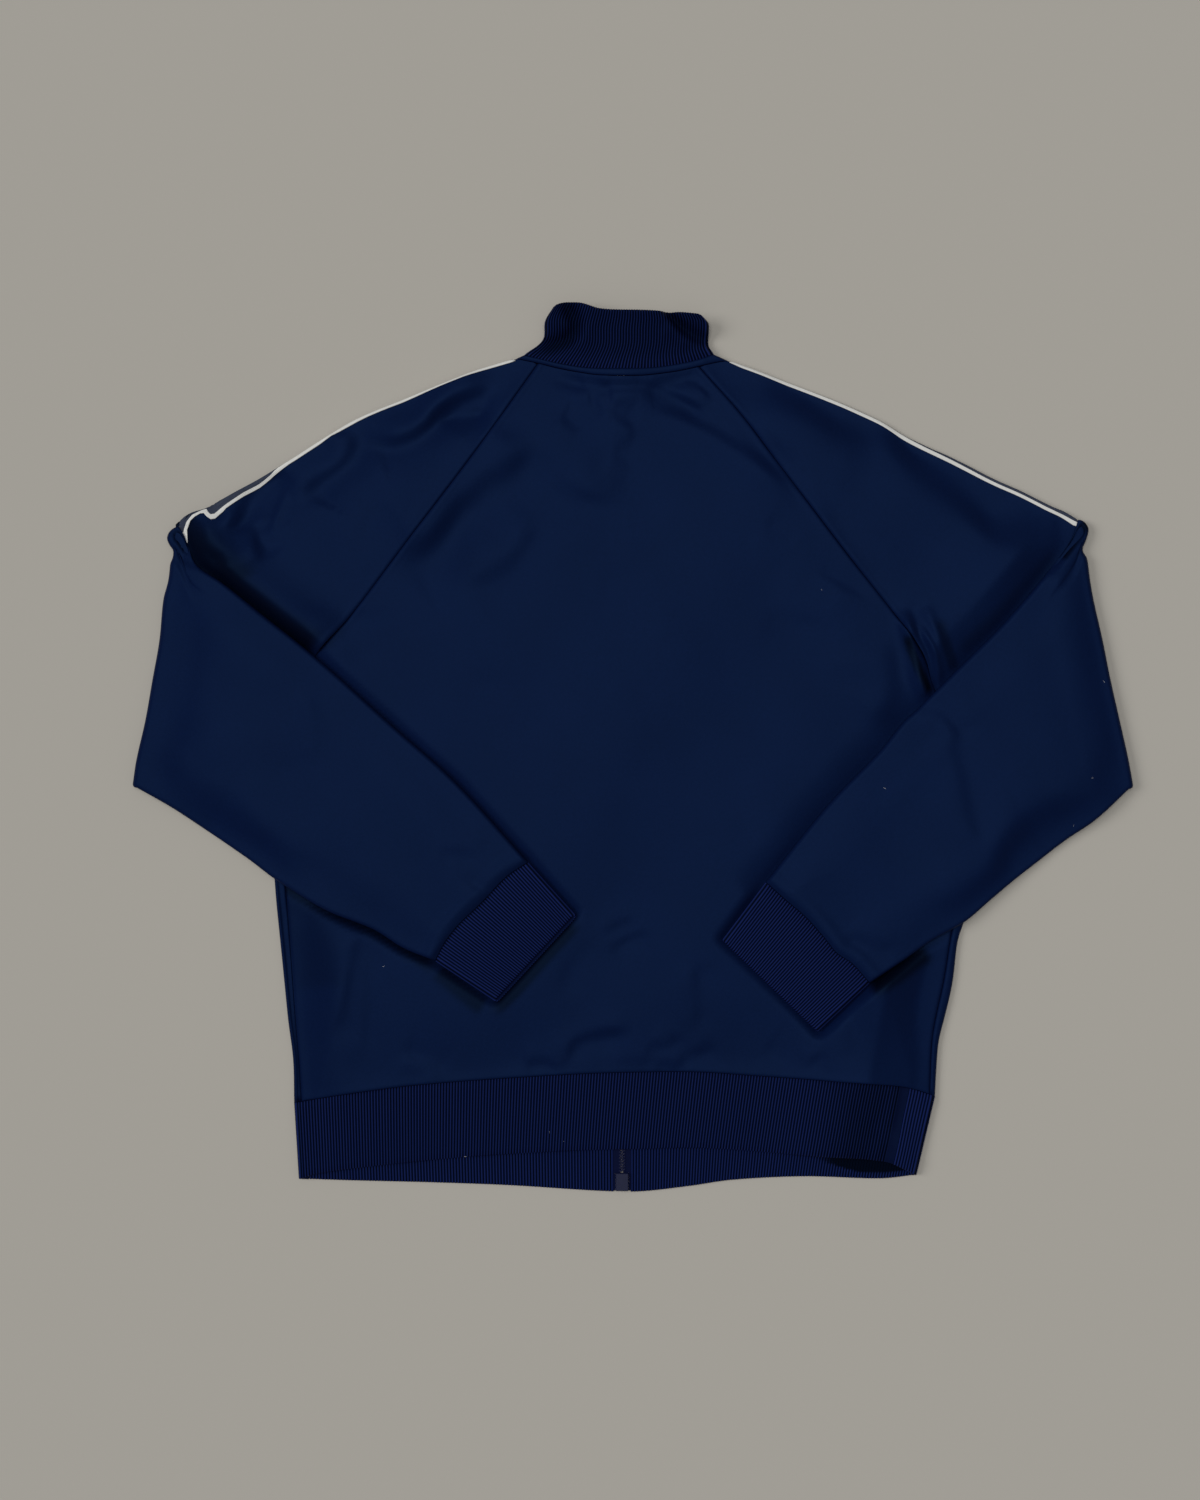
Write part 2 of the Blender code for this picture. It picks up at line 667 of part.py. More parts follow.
class Sleeve:
    """The plan and the heights of one sleeve, from the raglan seam to the cuff seam."""

    def __init__(self, side):
        self.side = side
        name = side.name
        self.back = side.sleeve_back
        self.front = side.sleeve_front
        fold = vectors(FOLD[name])
        run = (fold[-1] - fold[0]).normalized()
        self.out = Vector((-run.y, run.x)) * -side.sign
        if self.out.x * side.sign < 0.0:
            self.out = -self.out
        self.fold = fold
        shoulder = vectors(SHOULDER[name])
        underarm = vectors(UNDERARM[name])
        forearm_top = vectors(FOREARM_TOP[name])
        forearm_low = vectors(FOREARM_LOW[name])
        self.shoulder = [self.back[0]] + shoulder[1:-1] + [self.axis(0.0)]
        self.underarm = [self.back[-1]] + underarm[1:-1] + [self.axis(1.0)]
        self.forearm_top = [self.axis(0.0)] + forearm_top[1:]
        self.forearm_low = [self.axis(1.0)] + forearm_low[1:]
        self.cuff_seam = vectors(CUFF_SEAM[name])
        self.cuff_line = {}

    def axis_height(self, w):
        place = curve(self.fold, w) - self.out * LOFT
        return plain_top(place.x, place.y) + 0.5 * LAYER_GAP

    def axis(self, w):
        """The line in plan that the sleeve turns back about."""
        return curve(self.fold, w) - self.out * self.axis_height(w)

    def width(self, s):
        if s <= 1.0:
            return (curve(self.shoulder, s) - curve(self.underarm, s)).length
        return (curve(self.forearm_top, s - 1.0) - curve(self.forearm_low, s - 1.0)).length

    def upper_plan(self, s, w, front):
        line = self.front if front else self.back
        return patch(
            lambda t: at(line, t), self.axis,
            lambda t: curve(self.shoulder, t), lambda t: curve(self.underarm, t), s, w,
        )

    def forearm_plan(self, s, w):
        return patch(
            self.axis, lambda t: curve(self.cuff_seam, t),
            lambda t: curve(self.forearm_top, t), lambda t: curve(self.forearm_low, t), s, w,
        )

    def upper_height(self, plan, share, away):
        """Height of the upper arm at a share of its loft, away from the shoulder edge in millimetres."""
        room = TAPE_ROOM * (1.0 - smooth((away - TAPE_ROOM_WIDTH - 1.5) / 6.0))
        high = top(plan.x, plan.y, UPPER_ARM_FOLDS[self.side.name])
        return mix(room, high, share)

    def forearm_height(self, plan, share):
        low = resting(plan.x, plan.y)
        name = self.side.name
        away = min(line_distance(FOREARM_TOP[name], *plan), line_distance(FOREARM_LOW[name], *plan))
        thick = mix(EDGE_LOFT, LOFT - 0.5, smooth(away / 34.0))
        thick += max(folds(FOREARM_FOLDS[name], plan.x, plan.y), 2.0 * KNIT + 0.4 - thick)
        return low + (1.0 - share) * thick

    def fraction(self, s, column):
        """How far across the tube a column lies, from its shoulder edge to its underarm edge."""
        front, end, inset, share = column
        width = self.width(s)
        if s == 0.0:
            line = self.front if front else self.back
            width = sum((second - first).length for first, second in zip(line, line[1:]))
        room = mix(TAPE_ROOM_WIDTH, 6.0, smooth(s - 1.0))
        if end == 0.0:
            return min(inset, room) / width
        if end == 1.0:
            return 1.0 - inset / width
        nearest = (room + 2.0 if front else EDGE_ROUND + 1.5) / width
        return min(max(end, nearest), 1.0 - (EDGE_ROUND + 1.5) / width)

    def upper(self, s, column):
        w = self.fraction(s, column)
        plan = self.upper_plan(s, w, column[0])
        return place3(plan, self.upper_height(plan, column[3], w * self.width(s)))

    def turned(self, angle, column):
        w = self.fraction(1.0, column)
        plan = self.axis(w)
        middle = self.axis_height(w)
        radius = middle - self.upper_height(plan, column[3], w * self.width(1.0))
        turn = math.radians(angle)
        return place3(plan + self.out * radius * math.sin(turn), middle - radius * math.cos(turn))

    def forearm(self, s, column):
        plan = self.forearm_plan(s, self.fraction(1.0 + s, column))
        height = self.forearm_height(plan, column[3])
        return place3(plan, mix(self.turned(180.0, column).z, height, smooth(s / 0.14)))

    def rings(self, columns):
        rings = [[self.upper(s, column) for column in columns] for s in UPPER_STEPS]
        rings += [[self.turned(angle, column) for column in columns] for angle in FOLD_TURNS]
        rings += [[self.forearm(s, column) for column in columns] for s in FOREARM_STEPS]
        return rings


def build_sleeve(side):
    sleeve = Sleeve(side)
    rings = sleeve.rings(sleeve_columns(side))
    columns = sleeve_columns(side)
    for over in (True, False):
        line = [p.to_2d() for p, c in zip(rings[-1], columns) if (c[3] <= 0.5 if over else c[3] >= 0.5)]
        line.sort(key=lambda place: (place - sleeve.cuff_seam[0]).length)
        sleeve.cuff_line[over] = line
    gap = (vectors(CUFF_END[side.name])[0] - vectors(CUFF_SEAM[side.name])[0]).normalized()
    rings[-1] = [point - place3(gap, 0.0) * SEAM_GAP for point in rings[-1]]
    sleeve.made = rings
    sheet("sleeve_" + side.name, rings, NAVY, closed=True, flip=side.name == "left")
    return sleeve


def build_tape(side, sleeve):
    """The tape follows the shoulder edge. Its points are the sleeve's own, moved out."""
    columns = sleeve_columns(side)
    over = [k for k, column in enumerate(columns) if not column[0] and column[3] == 1.0][:-1]
    turned = [k for k, column in enumerate(columns) if column[1] == 0.0 and 0.0 < column[3] < 1.0]
    under = [k for k, column in enumerate(columns) if column[0] and column[3] == 0.0]
    path = over[::-1] + turned[::-1] + under[::-1]
    table = TAPE_EDGE[side.name]
    rows = []

    def ring_at(s):
        s = min(max(s, 0.0), 1.0)
        low = max(k for k in range(len(UPPER_STEPS) - 1) if UPPER_STEPS[k] <= s)
        part = (s - UPPER_STEPS[low]) / (UPPER_STEPS[low + 1] - UPPER_STEPS[low])
        return [mix(sleeve.made[low][k], sleeve.made[low + 1][k], part) for k in path]

    steps = [0.012]
    for number, count in enumerate(TAPE_SPANS):
        steps += [mix(UPPER_STEPS[number], UPPER_STEPS[number + 1], (k + 1) / count) for k in range(count)]
    steps[-1] = 0.988
    for s in steps:
        ring = ring_at(s)
        ahead = [second - first for first, second in zip(ring_at(s - 0.01), ring_at(s + 0.01))]
        reach = [0.0]
        for first, second in zip(ring, ring[1:]):
            reach.append(reach[-1] + (second - first).length)
        edge_reach = reach[len(over) + 1]
        begin = table[-1][1]
        for (s0, q0), (s1, q1) in zip(table, table[1:]):
            if s0 <= s <= s1:
                begin = mix(q0, q1, smooth((s - s0) / (s1 - s0)))
        row = []
        across_steps = [begin * part for part in TAPE_OVER]
        across_steps += [(begin + TAPE_WIDTH) * part for part in TAPE_UNDER]
        for step in across_steps:
            q = edge_reach + step
            i = max(i for i in range(len(reach) - 1) if reach[i] <= q)
            share = (q - reach[i]) / (reach[i + 1] - reach[i])
            here = mix(ring[i], ring[i + 1], share)
            along = mix(ahead[i], ahead[i + 1], share)
            across = (ring[i + 1] - ring[i]).normalized()
            before = (ring[i] - ring[i - 1]).normalized()
            after = (ring[min(i + 2, len(ring) - 1)] - ring[min(i + 1, len(ring) - 2)]).normalized()
            turned = mix(mix(before, across, 0.5), mix(across, after, 0.5), share)
            normal = along.cross(turned).normalized() * side.sign
            row.append(here + normal * (TAPE_CLEARANCE / turned.length + TAPE_THICKNESS))
        rows.append(row)
    sheet("sleeve_tape_" + side.name, rows, SLATE, TAPE_THICKNESS, flip=side.name == "right")


def build_back(left, right):
    half_gap = 0.5 * SEAM_GAP
    rows = BODY_ROWS + RAGLAN_ROWS
    hem = shifted(HEM["back seam"], half_gap)[1:-1]
    neck = shifted(
        samples(BAND_LOW, BACK_COLUMNS, left.neck_steps[-1], right.neck_steps[-1]), -half_gap
    )
    hem[0], hem[-1] = (line.body_line[0] + Vector((0.0, half_gap)) for line in (left, right))
    neck[0], neck[-1] = left.body_line[-1], right.body_line[-1]
    neck[0] = Vector((neck[0].x, min(neck[0].y, neck[1].y + 5.0)))
    left_line = [hem[0]] + left.body_line[1:-1] + [neck[0]]
    right_line = [hem[-1]] + right.body_line[1:-1] + [neck[-1]]
    grid = []
    for i in range(rows + 1):
        v = i / rows
        row = []
        for j in range(BACK_COLUMNS + 1):
            u = j / BACK_COLUMNS
            sides = mix(left_line[i], right_line[i], u)
            ends = mix(hem[j], neck[j], v)
            corners = mix(mix(hem[0], hem[-1], u), mix(neck[0], neck[-1], u), v)
            plan = sides + ends - corners
            row.append(place3(plan, top(plan.x, plan.y)))
        grid.append(row)
    sheet("back_panel", grid, NAVY)


def build_front(side):
    """A front panel: flat on the ground, and turned up round the side edge as far as the side seam."""
    name = side.name
    half_gap = 0.5 * SEAM_GAP
    centre_x = ZIP_X + side.sign * 0.5 * ZIP_RECESS
    hem = shifted(HEM["front seam"], half_gap)
    hem = hem[FRONT_COLUMNS::-1] if side.sign < 0.0 else hem[FRONT_COLUMNS + 1:]
    neck = samples(FRONT_BAND_LOW[name], FRONT_COLUMNS, 1.0, side.front_corner)
    neck = [place - Vector((0.0, half_gap)) for place in neck]
    rows = BODY_ROWS + FRONT_RAGLAN_ROWS
    outer_line = []
    for i in range(BODY_ROWS + 1):
        outer_line.append(side.edge[i] - Vector((side.sign * EDGE_ROUND, 0.0)))
    outer_line[0] = outer_line[0] + Vector((0.0, half_gap))
    outer_line += side.front_line[1:]
    outer_line[BODY_ROWS] = side.front_line[0] + Vector((0.0, -half_gap))
    neck[-1] = outer_line[-1]
    hem[-1] = outer_line[0]
    hem[0].x = centre_x
    neck[0].x = centre_x
    grid = []
    for i in range(rows + 1):
        v = i / rows
        row = []
        for j in range(FRONT_COLUMNS + 1):
            u = j / FRONT_COLUMNS
            sides = mix(mix(hem[0], neck[0], v), outer_line[i], u)
            ends = mix(hem[j], neck[j], v)
            corners = mix(mix(hem[0], hem[-1], u), mix(neck[0], neck[-1], u), v)
            row.append(place3(sides + ends - corners, 0.0))
        if i <= BODY_ROWS:
            gap = Vector((0.0, half_gap * (2.0 * (i == 0) - (i == BODY_ROWS))))
            edge = side.edge[i] + gap
            seam = side.strip_line[i] + gap
            for angle in reversed(ROUND_TURNS):
                inset = EDGE_ROUND * (1.0 - math.sin(math.radians(angle)))
                share = 0.5 + 0.5 * math.cos(math.radians(angle))
                goal = seam if share > 0.5 else outer_line[i]
                plan = edge + (goal - edge).normalized() * inset
                row.append(place3(plan, share * top(plan.x, plan.y)))
            plan = edge + (seam - edge).normalized() * EDGE_ROUND
            row.append(place3(plan, top(plan.x, plan.y)))
            row.append(place3(seam, top(seam.x, seam.y)))
        else:
            row += [None] * (len(ROUND_TURNS) + 2)
        grid.append(row)
    sheet("front_" + name, grid, NAVY, flip=name == "right")


def neck_stations(left, right):
    """The places round the neck, from the zip's left to its right: part, step, height share."""
    span = right.neck_steps[-1] - left.neck_steps[-1]
    back = [t for t in left.neck_steps[1:-1]]
    back += [left.neck_steps[-1] + span * k / BACK_COLUMNS for k in range(BACK_COLUMNS + 1)]
    back += [t for t in reversed(right.neck_steps[1:-1])]
    stations = []
    for side in (left, right):
        steps = [mix(side.front_corner, 1.0, k / FRONT_COLUMNS) for k in range(FRONT_COLUMNS, -1, -1)]
        steps += side.front_neck_steps[-2:0:-1]
        ring = [(side.name, t, 0.0) for t in steps]
        for angle in (180.0,) + ROUND_TURNS[::-1] + (0.0,):
            inset = EDGE_ROUND * (1.0 - math.sin(math.radians(angle)))
            share = 0.5 + 0.5 * math.cos(math.radians(angle))
            if angle > 90.0:
                ring.append((side.name, inset / NECK_FRONT_LENGTH, share))
            else:
                t = inset / NECK_BACK_LENGTH
                ring.append(("back", t if side is left else 1.0 - t, share))
        if side is left:
            stations += ring + [("back", t, 1.0) for t in back]
        else:
            stations += ring[::-1]
    return stations


def neck_lines(stations, back_table, front_tables, move):
    """The polylines of one neck line, moved across itself: one along the back, one for each front."""
    lines = {"back": sorted({t for part, t, share in stations if part == "back"} | {0.0, 1.0})}
    lines["back"] = shifted([curve(vectors(back_table), t) for t in lines["back"]], move)
    for name, sign in (("left", -1.0), ("right", 1.0)):
        steps = sorted({t for part, t, share in stations if part == name} | {0.0, 1.0})
        table = vectors(front_tables[name])
        lines[name] = shifted([curve(table, t) for t in steps], -sign * move)
    return lines


def build_neck_band(left, right):
    """The narrow band between the collar and the panels, open at the zip."""
    stations = neck_stations(left, right)
    half_gap = 0.5 * SEAM_GAP
    low_lines = neck_lines(stations, BAND_LOW, FRONT_BAND_LOW, half_gap)
    high_lines = neck_lines(stations, BAND_TOP, FRONT_BAND_TOP, -half_gap)
    steps = {}
    for name in ("back", "left", "right"):
        steps[name] = sorted({t for part, t, share in stations if part == name} | {0.0, 1.0})
    columns = []
    for part, t, share in stations:
        index = steps[part].index(t)
        low = low_lines[part][index]
        high = high_lines[part][index]
        height = top(low.x, low.y)
        columns.append([place3(low, share * height), place3(high, share * (height + 0.2))])
    sheet("neck_band", columns, NAVY, flip=True)


def rib_offset(index):
    return RIB_RELIEF * (0.5 if index % 2 else -0.5)


def build_collar(left, right):
    """The ribbed stand collar: a flat tube, open at the zip, its front half lower than its back."""
    rows = 5
    base = neck_lines(neck_stations(left, right), BAND_TOP, FRONT_BAND_TOP, SEAM_GAP)
    for name, end in (("left", 0), ("right", -1)):
        corner = base["back"][end] + base[name][0] - Vector(BAND_TOP[end])
        base["back"][end] = corner
        base[name][0] = corner
    back_top = vectors(COLLAR_TOP)
    folds_at = {name: [base[name][0]] + vectors(COLLAR_FOLD[name])[1:] for name in ("left", "right")}
    width = 140.0

    def back_plan(r, t):
        return patch(
            lambda k: at(base["back"], k), lambda k: curve(back_top, k),
            lambda k: curve(folds_at["left"], k), lambda k: curve(folds_at["right"], k), r, t,
        )

    def front_plan(name, r, t):
        low = base[name]
        high = vectors(FRONT_COLLAR_TOP[name])
        return patch(
            lambda k: at(low, k), lambda k: curve(high, k),
            lambda k: curve(folds_at[name], k), lambda k: mix(low[-1], high[-1], k), r, t,
        )

    def back_top_height(plan):
        return COLLAR_LOFT + neck_bump(plan.x, plan.y) + max(folds(COLLAR_FOLDS, plan.x, plan.y), -1.9)

    def column(kind, t, angle, lift, inner):
        """One column: kind is the part of the ring, angle turns round a fold, lift raises a rib."""
        made = []
        for k in range(rows):
            r = k / (rows - 1.0)
            if kind == "back":
                plan = back_plan(r, t)
                z = back_top_height(plan) + (lift if not inner else -RIB_WALL)
            elif kind == "left" or kind == "right":
                plan = front_plan(kind, r, t)
                z = zip_lift(plan.x, plan.y) + (RIB_WALL if inner else 0.0)
            else:
                name = kind[5:]
                turn = math.radians(angle)
                radius = RIB_ROUND - (RIB_WALL if inner else -lift)
                inset = RIB_ROUND - radius * math.sin(turn)
                if angle > 90.0:
                    plan = front_plan(name, r, inset / 90.0)
                else:
                    plan = back_plan(r, inset / width if name == "left" else 1.0 - inset / width)
                full = back_top_height(plan)
                half = 0.5 * full - (RIB_WALL if inner else -lift)
                z = 0.5 * full + half * math.cos(turn)
            made.append(place3(plan, z))
        return made

    outer = []
    inner = []
    bays = []

    def add_run(outer_columns, inner_columns):
        first_outer = len(outer) - 1 if outer else 0
        first_inner = len(inner) - 1 if inner else 0
        outer.extend(outer_columns)
        inner.extend(inner_columns)
        bays.append((first_outer, len(outer) - 1, first_inner, len(inner) - 1))

    front_steps = [1.0 - k / 10.0 for k in range(10)]
    outer.append(column("left", 1.0, 0.0, 0.0, False))
    inner.append(column("left", 1.0, 0.0, 0.0, True))
    for t in front_steps[1:] + [0.045]:
        add_run([column("left", t, 0.0, 0.0, False)], [column("left", t, 0.0, 0.0, True)])
    for angle in (150.0, 120.0, 90.0, 60.0, 30.0):
        add_run(
            [column("fold left", 0.0, angle, rib_offset(int(angle / 30.0)), False)],
            [column("fold left", 0.0, angle, 0.0, True)],
        )
    start = RIB_ROUND / width
    ribs = int(round(width * (1.0 - 2.0 * start) / RIB_PITCH))
    done = 0
    while done < ribs:
        count = min(RIBS_PER_BAY, ribs - done)
        steps = [mix(start, 1.0 - start, (done + 0.5 * k) / ribs) for k in range(1, 2 * count + 1)]
        if done == 0:
            steps = [start] + steps
        add_run(
            [column("back", t, 0.0, rib_offset(k), False) for k, t in enumerate(steps, 1 if done else 0)],
            [column("back", steps[-1], 0.0, 0.0, True)],
        )
        done += count
    for angle in (30.0, 60.0, 90.0, 120.0, 150.0):
        add_run(
            [column("fold right", 0.0, angle, rib_offset(int(angle / 30.0)), False)],
            [column("fold right", 0.0, angle, 0.0, True)],
        )
    for t in [0.045] + front_steps[:0:-1]:
        add_run([column("right", t, 0.0, 0.0, False)], [column("right", t, 0.0, 0.0, True)])
    add_run([column("right", 1.0, 0.0, 0.0, False)], [column("right", 1.0, 0.0, 0.0, True)])
    ribbed_wall("collar", outer, inner, bays, NAVY_RIB)


def build_cuff(side, sleeve):
    """A ribbed cuff: a flat tube from the cuff seam to its open end."""
    name = side.name
    seam = vectors(CUFF_SEAM[name])
    end = vectors(CUFF_END[name])
    along = (end[0] - seam[0]).normalized()
    seam_width = (seam[-1] - seam[0]).length
    end_width = (end[-1] - end[0]).length
    ribs = int(round(0.5 * (seam_width + end_width) / RIB_PITCH))

    def column(share, inset, fraction, angle, lift, inner):
        made = []
        for row in range(2):
            width = seam_width if row == 0 else end_width
            turn = math.radians(angle)
            t = fraction
            if inset is not None:
                radius = RIB_ROUND - (RIB_WALL if inner else -lift)
                t = (RIB_ROUND - radius * math.sin(turn)) / width
                t = t if fraction == 0.0 else 1.0 - t
            else:
                t = mix(RIB_ROUND / width, 1.0 - RIB_ROUND / width, fraction)
            plan = at(sleeve.cuff_line[angle <= 90.0], t) if row == 0 else mix(end[0], end[1], t)
            peek = CUFF_LOWER_LAYER_PEEK[name] * (0.5 - 0.5 * math.cos(turn))
            plan = plan + along * (1.6 * SEAM_GAP if row == 0 else peek)
            low = resting(plan.x, plan.y)
            half = 0.5 * CUFF_LOFT - (RIB_WALL if inner else -lift)
            made.append(place3(plan, low + 0.5 * CUFF_LOFT + half * math.cos(turn)))
        return made

    outer = []
    inner = []
    bays = []
    pieces = ((0, 0.0, 0.0), (1, 180.0, 1.0))
    for number, angle, far in pieces:
        done = 0
        while done < ribs:
            count = min(RIBS_PER_BAY, ribs - done)
            first_outer = len(outer)
            first_inner = len(inner)
            for k in range(0, 2 * count):
                step = (done + 0.5 * k) / ribs
                fraction = step if number == 0 else 1.0 - step
                outer.append(column(0, None, fraction, angle, rib_offset(k), False))
            step = done / ribs
            inner.append(column(0, None, step if number == 0 else 1.0 - step, angle, 0.0, True))
            done += count
            bays.append((first_outer, len(outer), first_inner, len(inner)))
        end_fraction = 1.0 - far
        turns = (0.0, 36.0, 72.0, 108.0, 144.0) if number == 0 else (180.0, 144.0, 108.0, 72.0, 36.0)
        for k, turn in enumerate(turns):
            first_outer = len(outer)
            first_inner = len(inner)
            flip = 1.0 if number == 0 else 1.0
            outer.append(column(0, 0.0, end_fraction, turn, rib_offset(k), False))
            inner.append(column(0, 0.0, end_fraction, turn, 0.0, True))
            bays.append((first_outer, len(outer), first_inner, len(inner)))
    ribbed_wall("cuff_" + name, outer, inner, bays, NAVY_RIB, closed=True)


class HemLine:
    """Both long edges of a hem band, read by the same fraction across."""

    def __init__(self, which):
        self.seam = shifted(HEM[which + " seam"], -0.5 * SEAM_GAP)
        self.edge = HEM[which + " edge"]

    def places(self, t):
        return at(self.seam, t), at(self.edge, t)


def hem_turn_column(line, end, angle, lift, inner):
    """One column round the hem's side edge."""
    turn = math.radians(angle)
    radius = RIB_ROUND - (RIB_WALL if inner else -lift)
    inset = (RIB_ROUND - radius * math.sin(turn)) / 505.0
    seam, edge = line.places(inset if end == 0.0 else 1.0 - inset)
    half = 0.5 * HEM_LOFT - (RIB_WALL if inner else -lift)
    z = 0.5 * HEM_LOFT + half * math.cos(turn)
    return [place3(seam, z), place3(edge, z)]


def build_hem_back():
    """The back's hem band. It turns under at the wearer's left, and ends in a plain strip at the right."""
    back = HemLine("back")
    front = HemLine("front")
    outer = []
    inner = []
    bays = []

    def flat(line, t, z):
        seam, edge = line.places(t)
        return [place3(seam, z), place3(edge, z)]

    turn_under = HEM_TURN_UNDER / 505.0
    start = RIB_ROUND / 505.0
    outer.append(flat(front, turn_under, 0.0))
    inner.append(flat(front, turn_under, RIB_WALL))
    outer.append(hem_turn_column(front, 0.0, 180.0, 0.0, False))
    inner.append(hem_turn_column(front, 0.0, 180.0, 0.0, True))
    bays.append((0, 1, 0, 1))
    for k, angle in enumerate((150.0, 120.0, 90.0, 60.0, 30.0)):
        line = front if angle > 90.0 else back
        outer.append(hem_turn_column(line, 0.0, angle, rib_offset(k), False))
        inner.append(hem_turn_column(line, 0.0, angle, 0.0, True))
        bays.append((len(outer) - 2, len(outer) - 1, len(inner) - 2, len(inner) - 1))
    ribs = int(round((PLAIN_STRIP_START - start) * 512.0 / RIB_PITCH))
    done = 0
    while done < ribs:
        count = min(RIBS_PER_BAY, ribs - done)
        first_outer = len(outer) - 1
        first_inner = len(inner) - 1
        first = 0 if done == 0 else 1
        for k in range(first, 2 * count + 1):
            t = mix(start, PLAIN_STRIP_START, (done + 0.5 * k) / ribs)
            outer.append(flat(back, t, HEM_LOFT + rib_offset(k)))
        inner.append(flat(back, t, HEM_LOFT - RIB_WALL))
        bays.append((first_outer, len(outer) - 1, first_inner, len(inner) - 1))
        done += count
    outer.append(flat(back, PLAIN_STRIP_END, HEM_LOFT))
    inner.append(flat(back, PLAIN_STRIP_END, HEM_LOFT - RIB_WALL))
    bays.append((len(outer) - 2, len(outer) - 1, len(inner) - 2, len(inner) - 1))
    ribbed_wall("hem_back", outer, inner, bays, NAVY_RIB)


def build_hem_front(side):
    """A front hem band, ribbed on the inner face that shows below the back's band."""
    front = HemLine("front")
    back = HemLine("back")
    centre_x = ZIP_X + side.sign * 0.5 * ZIP_RECESS
    seam_step = step_at_x(front.seam, centre_x)
    edge_step = step_at_x(front.edge, centre_x)
    far = (HEM_TURN_UNDER + SEAM_GAP) / 505.0 if side.sign < 0.0 else 1.0 - RIB_ROUND / 505.0
    width = abs(far - seam_step) * 505.0
    ribs = int(round(width / RIB_PITCH))

    def flat(u, z):
        seam = at(front.seam, mix(seam_step, far, u))
        edge = at(front.edge, mix(edge_step, far, u))
        return [place3(seam, z), place3(edge, z)]

    outer = [flat(0.0, 0.0)]
    inner = [flat(0.0, RIB_WALL - 0.5 * RIB_RELIEF + rib_offset(0))]
    bays = []
    done = 0
    while done < ribs:
        count = min(RIBS_PER_BAY, ribs - done)
        first_outer = len(outer) - 1
        first_inner = len(inner) - 1
        for k in range(1, 2 * count + 1):
            u = (done + 0.5 * k) / ribs
            inner.append(flat(u, RIB_WALL - 0.5 * RIB_RELIEF + rib_offset(k)))
        outer.append(flat(u, 0.0))
        bays.append((first_outer, len(outer) - 1, first_inner, len(inner) - 1))
        done += count
    if side.sign > 0.0:
        for k, angle in enumerate((150.0, 120.0, 90.0, 60.0, 30.0)):
            line = front if angle > 90.0 else back
            outer.append(hem_turn_column(line, 1.0, angle, rib_offset(k), False))
            inner.append(hem_turn_column(line, 1.0, angle, 0.0, True))
            bays.append((len(outer) - 2, len(outer) - 1, len(inner) - 2, len(inner) - 1))
        start = 1.0 - RIB_ROUND / 505.0
        stop = PLAIN_STRIP_END + SEAM_GAP / 505.0
        turned_ribs = int(round((start - stop) * 505.0 / RIB_PITCH))
        first_outer = len(outer) - 1
        first_inner = len(inner) - 1
        for k in range(2 * turned_ribs + 1):
            seam, edge = back.places(mix(start, stop, 0.5 * k / turned_ribs))
            z = HEM_LOFT + rib_offset(k)
            outer.append([place3(seam, z), place3(edge, z)])
        inner.append([place3(seam, HEM_LOFT - RIB_WALL), place3(edge, HEM_LOFT - RIB_WALL)])
        bays.append((first_outer, len(outer) - 1, first_inner, len(inner) - 1))
    ribbed_wall("hem_front_" + side.name, outer, inner, bays, NAVY_RIB)


def build_zip_half(side):
    """Half of the zip: a strip of tape with its bead of teeth, from the box to the slider."""
    sign = side.sign
    half_gap = 0.5 * SEAM_GAP
    hem_y = at(HEM["front edge"], step_at_x(HEM["front edge"], ZIP_X)).y
    start_y = hem_y + BOX_LENGTH + SEAM_GAP
    stations = (start_y, -200.0, 0.0, 200.0, ZIP_LIFT_START, 264.0, 270.0, 276.0, 282.0, 288.0, 298.0)
    outer_x = 0.5 * ZIP_RECESS - SEAM_GAP
    inner_x = 0.5 * BEAD_WIDTH
    tape_low = 0.5 * (BEAD_THICKNESS - ZIP_TAPE_THICKNESS)
    tape_high = tape_low + ZIP_TAPE_THICKNESS
    profile = (
        (half_gap, 0.0), (inner_x, 0.0), (inner_x, tape_low), (outer_x, tape_low),
        (outer_x, tape_high), (inner_x, tape_high), (inner_x, BEAD_THICKNESS), (half_gap, BEAD_THICKNESS),
    )
    shape = bmesh.new()
    rings = []
    for y in stations:
        ring = []
        for across, height in profile:
            z = ZIP_BASE + zip_lift(ZIP_X, y) + height
            ring.append(shape.verts.new(Vector((ZIP_X + sign * across, y, z)) * MM))
        rings.append(ring)
    count = len(profile)
    for first, second in zip(rings, rings[1:]):
        for k in range(count):
            shape.faces.new((first[k], first[(k + 1) % count], second[(k + 1) % count], second[k]))
    shape.faces.new(rings[0])
    shape.faces.new(rings[-1])
    bmesh.ops.recalc_face_normals(shape, faces=shape.faces)
    mesh = bpy.data.meshes.new("zip_" + side.name)
    shape.to_mesh(mesh)
    shape.free()
    add_object("zip_" + side.name, mesh, ZIP_NAVY, 0.5)


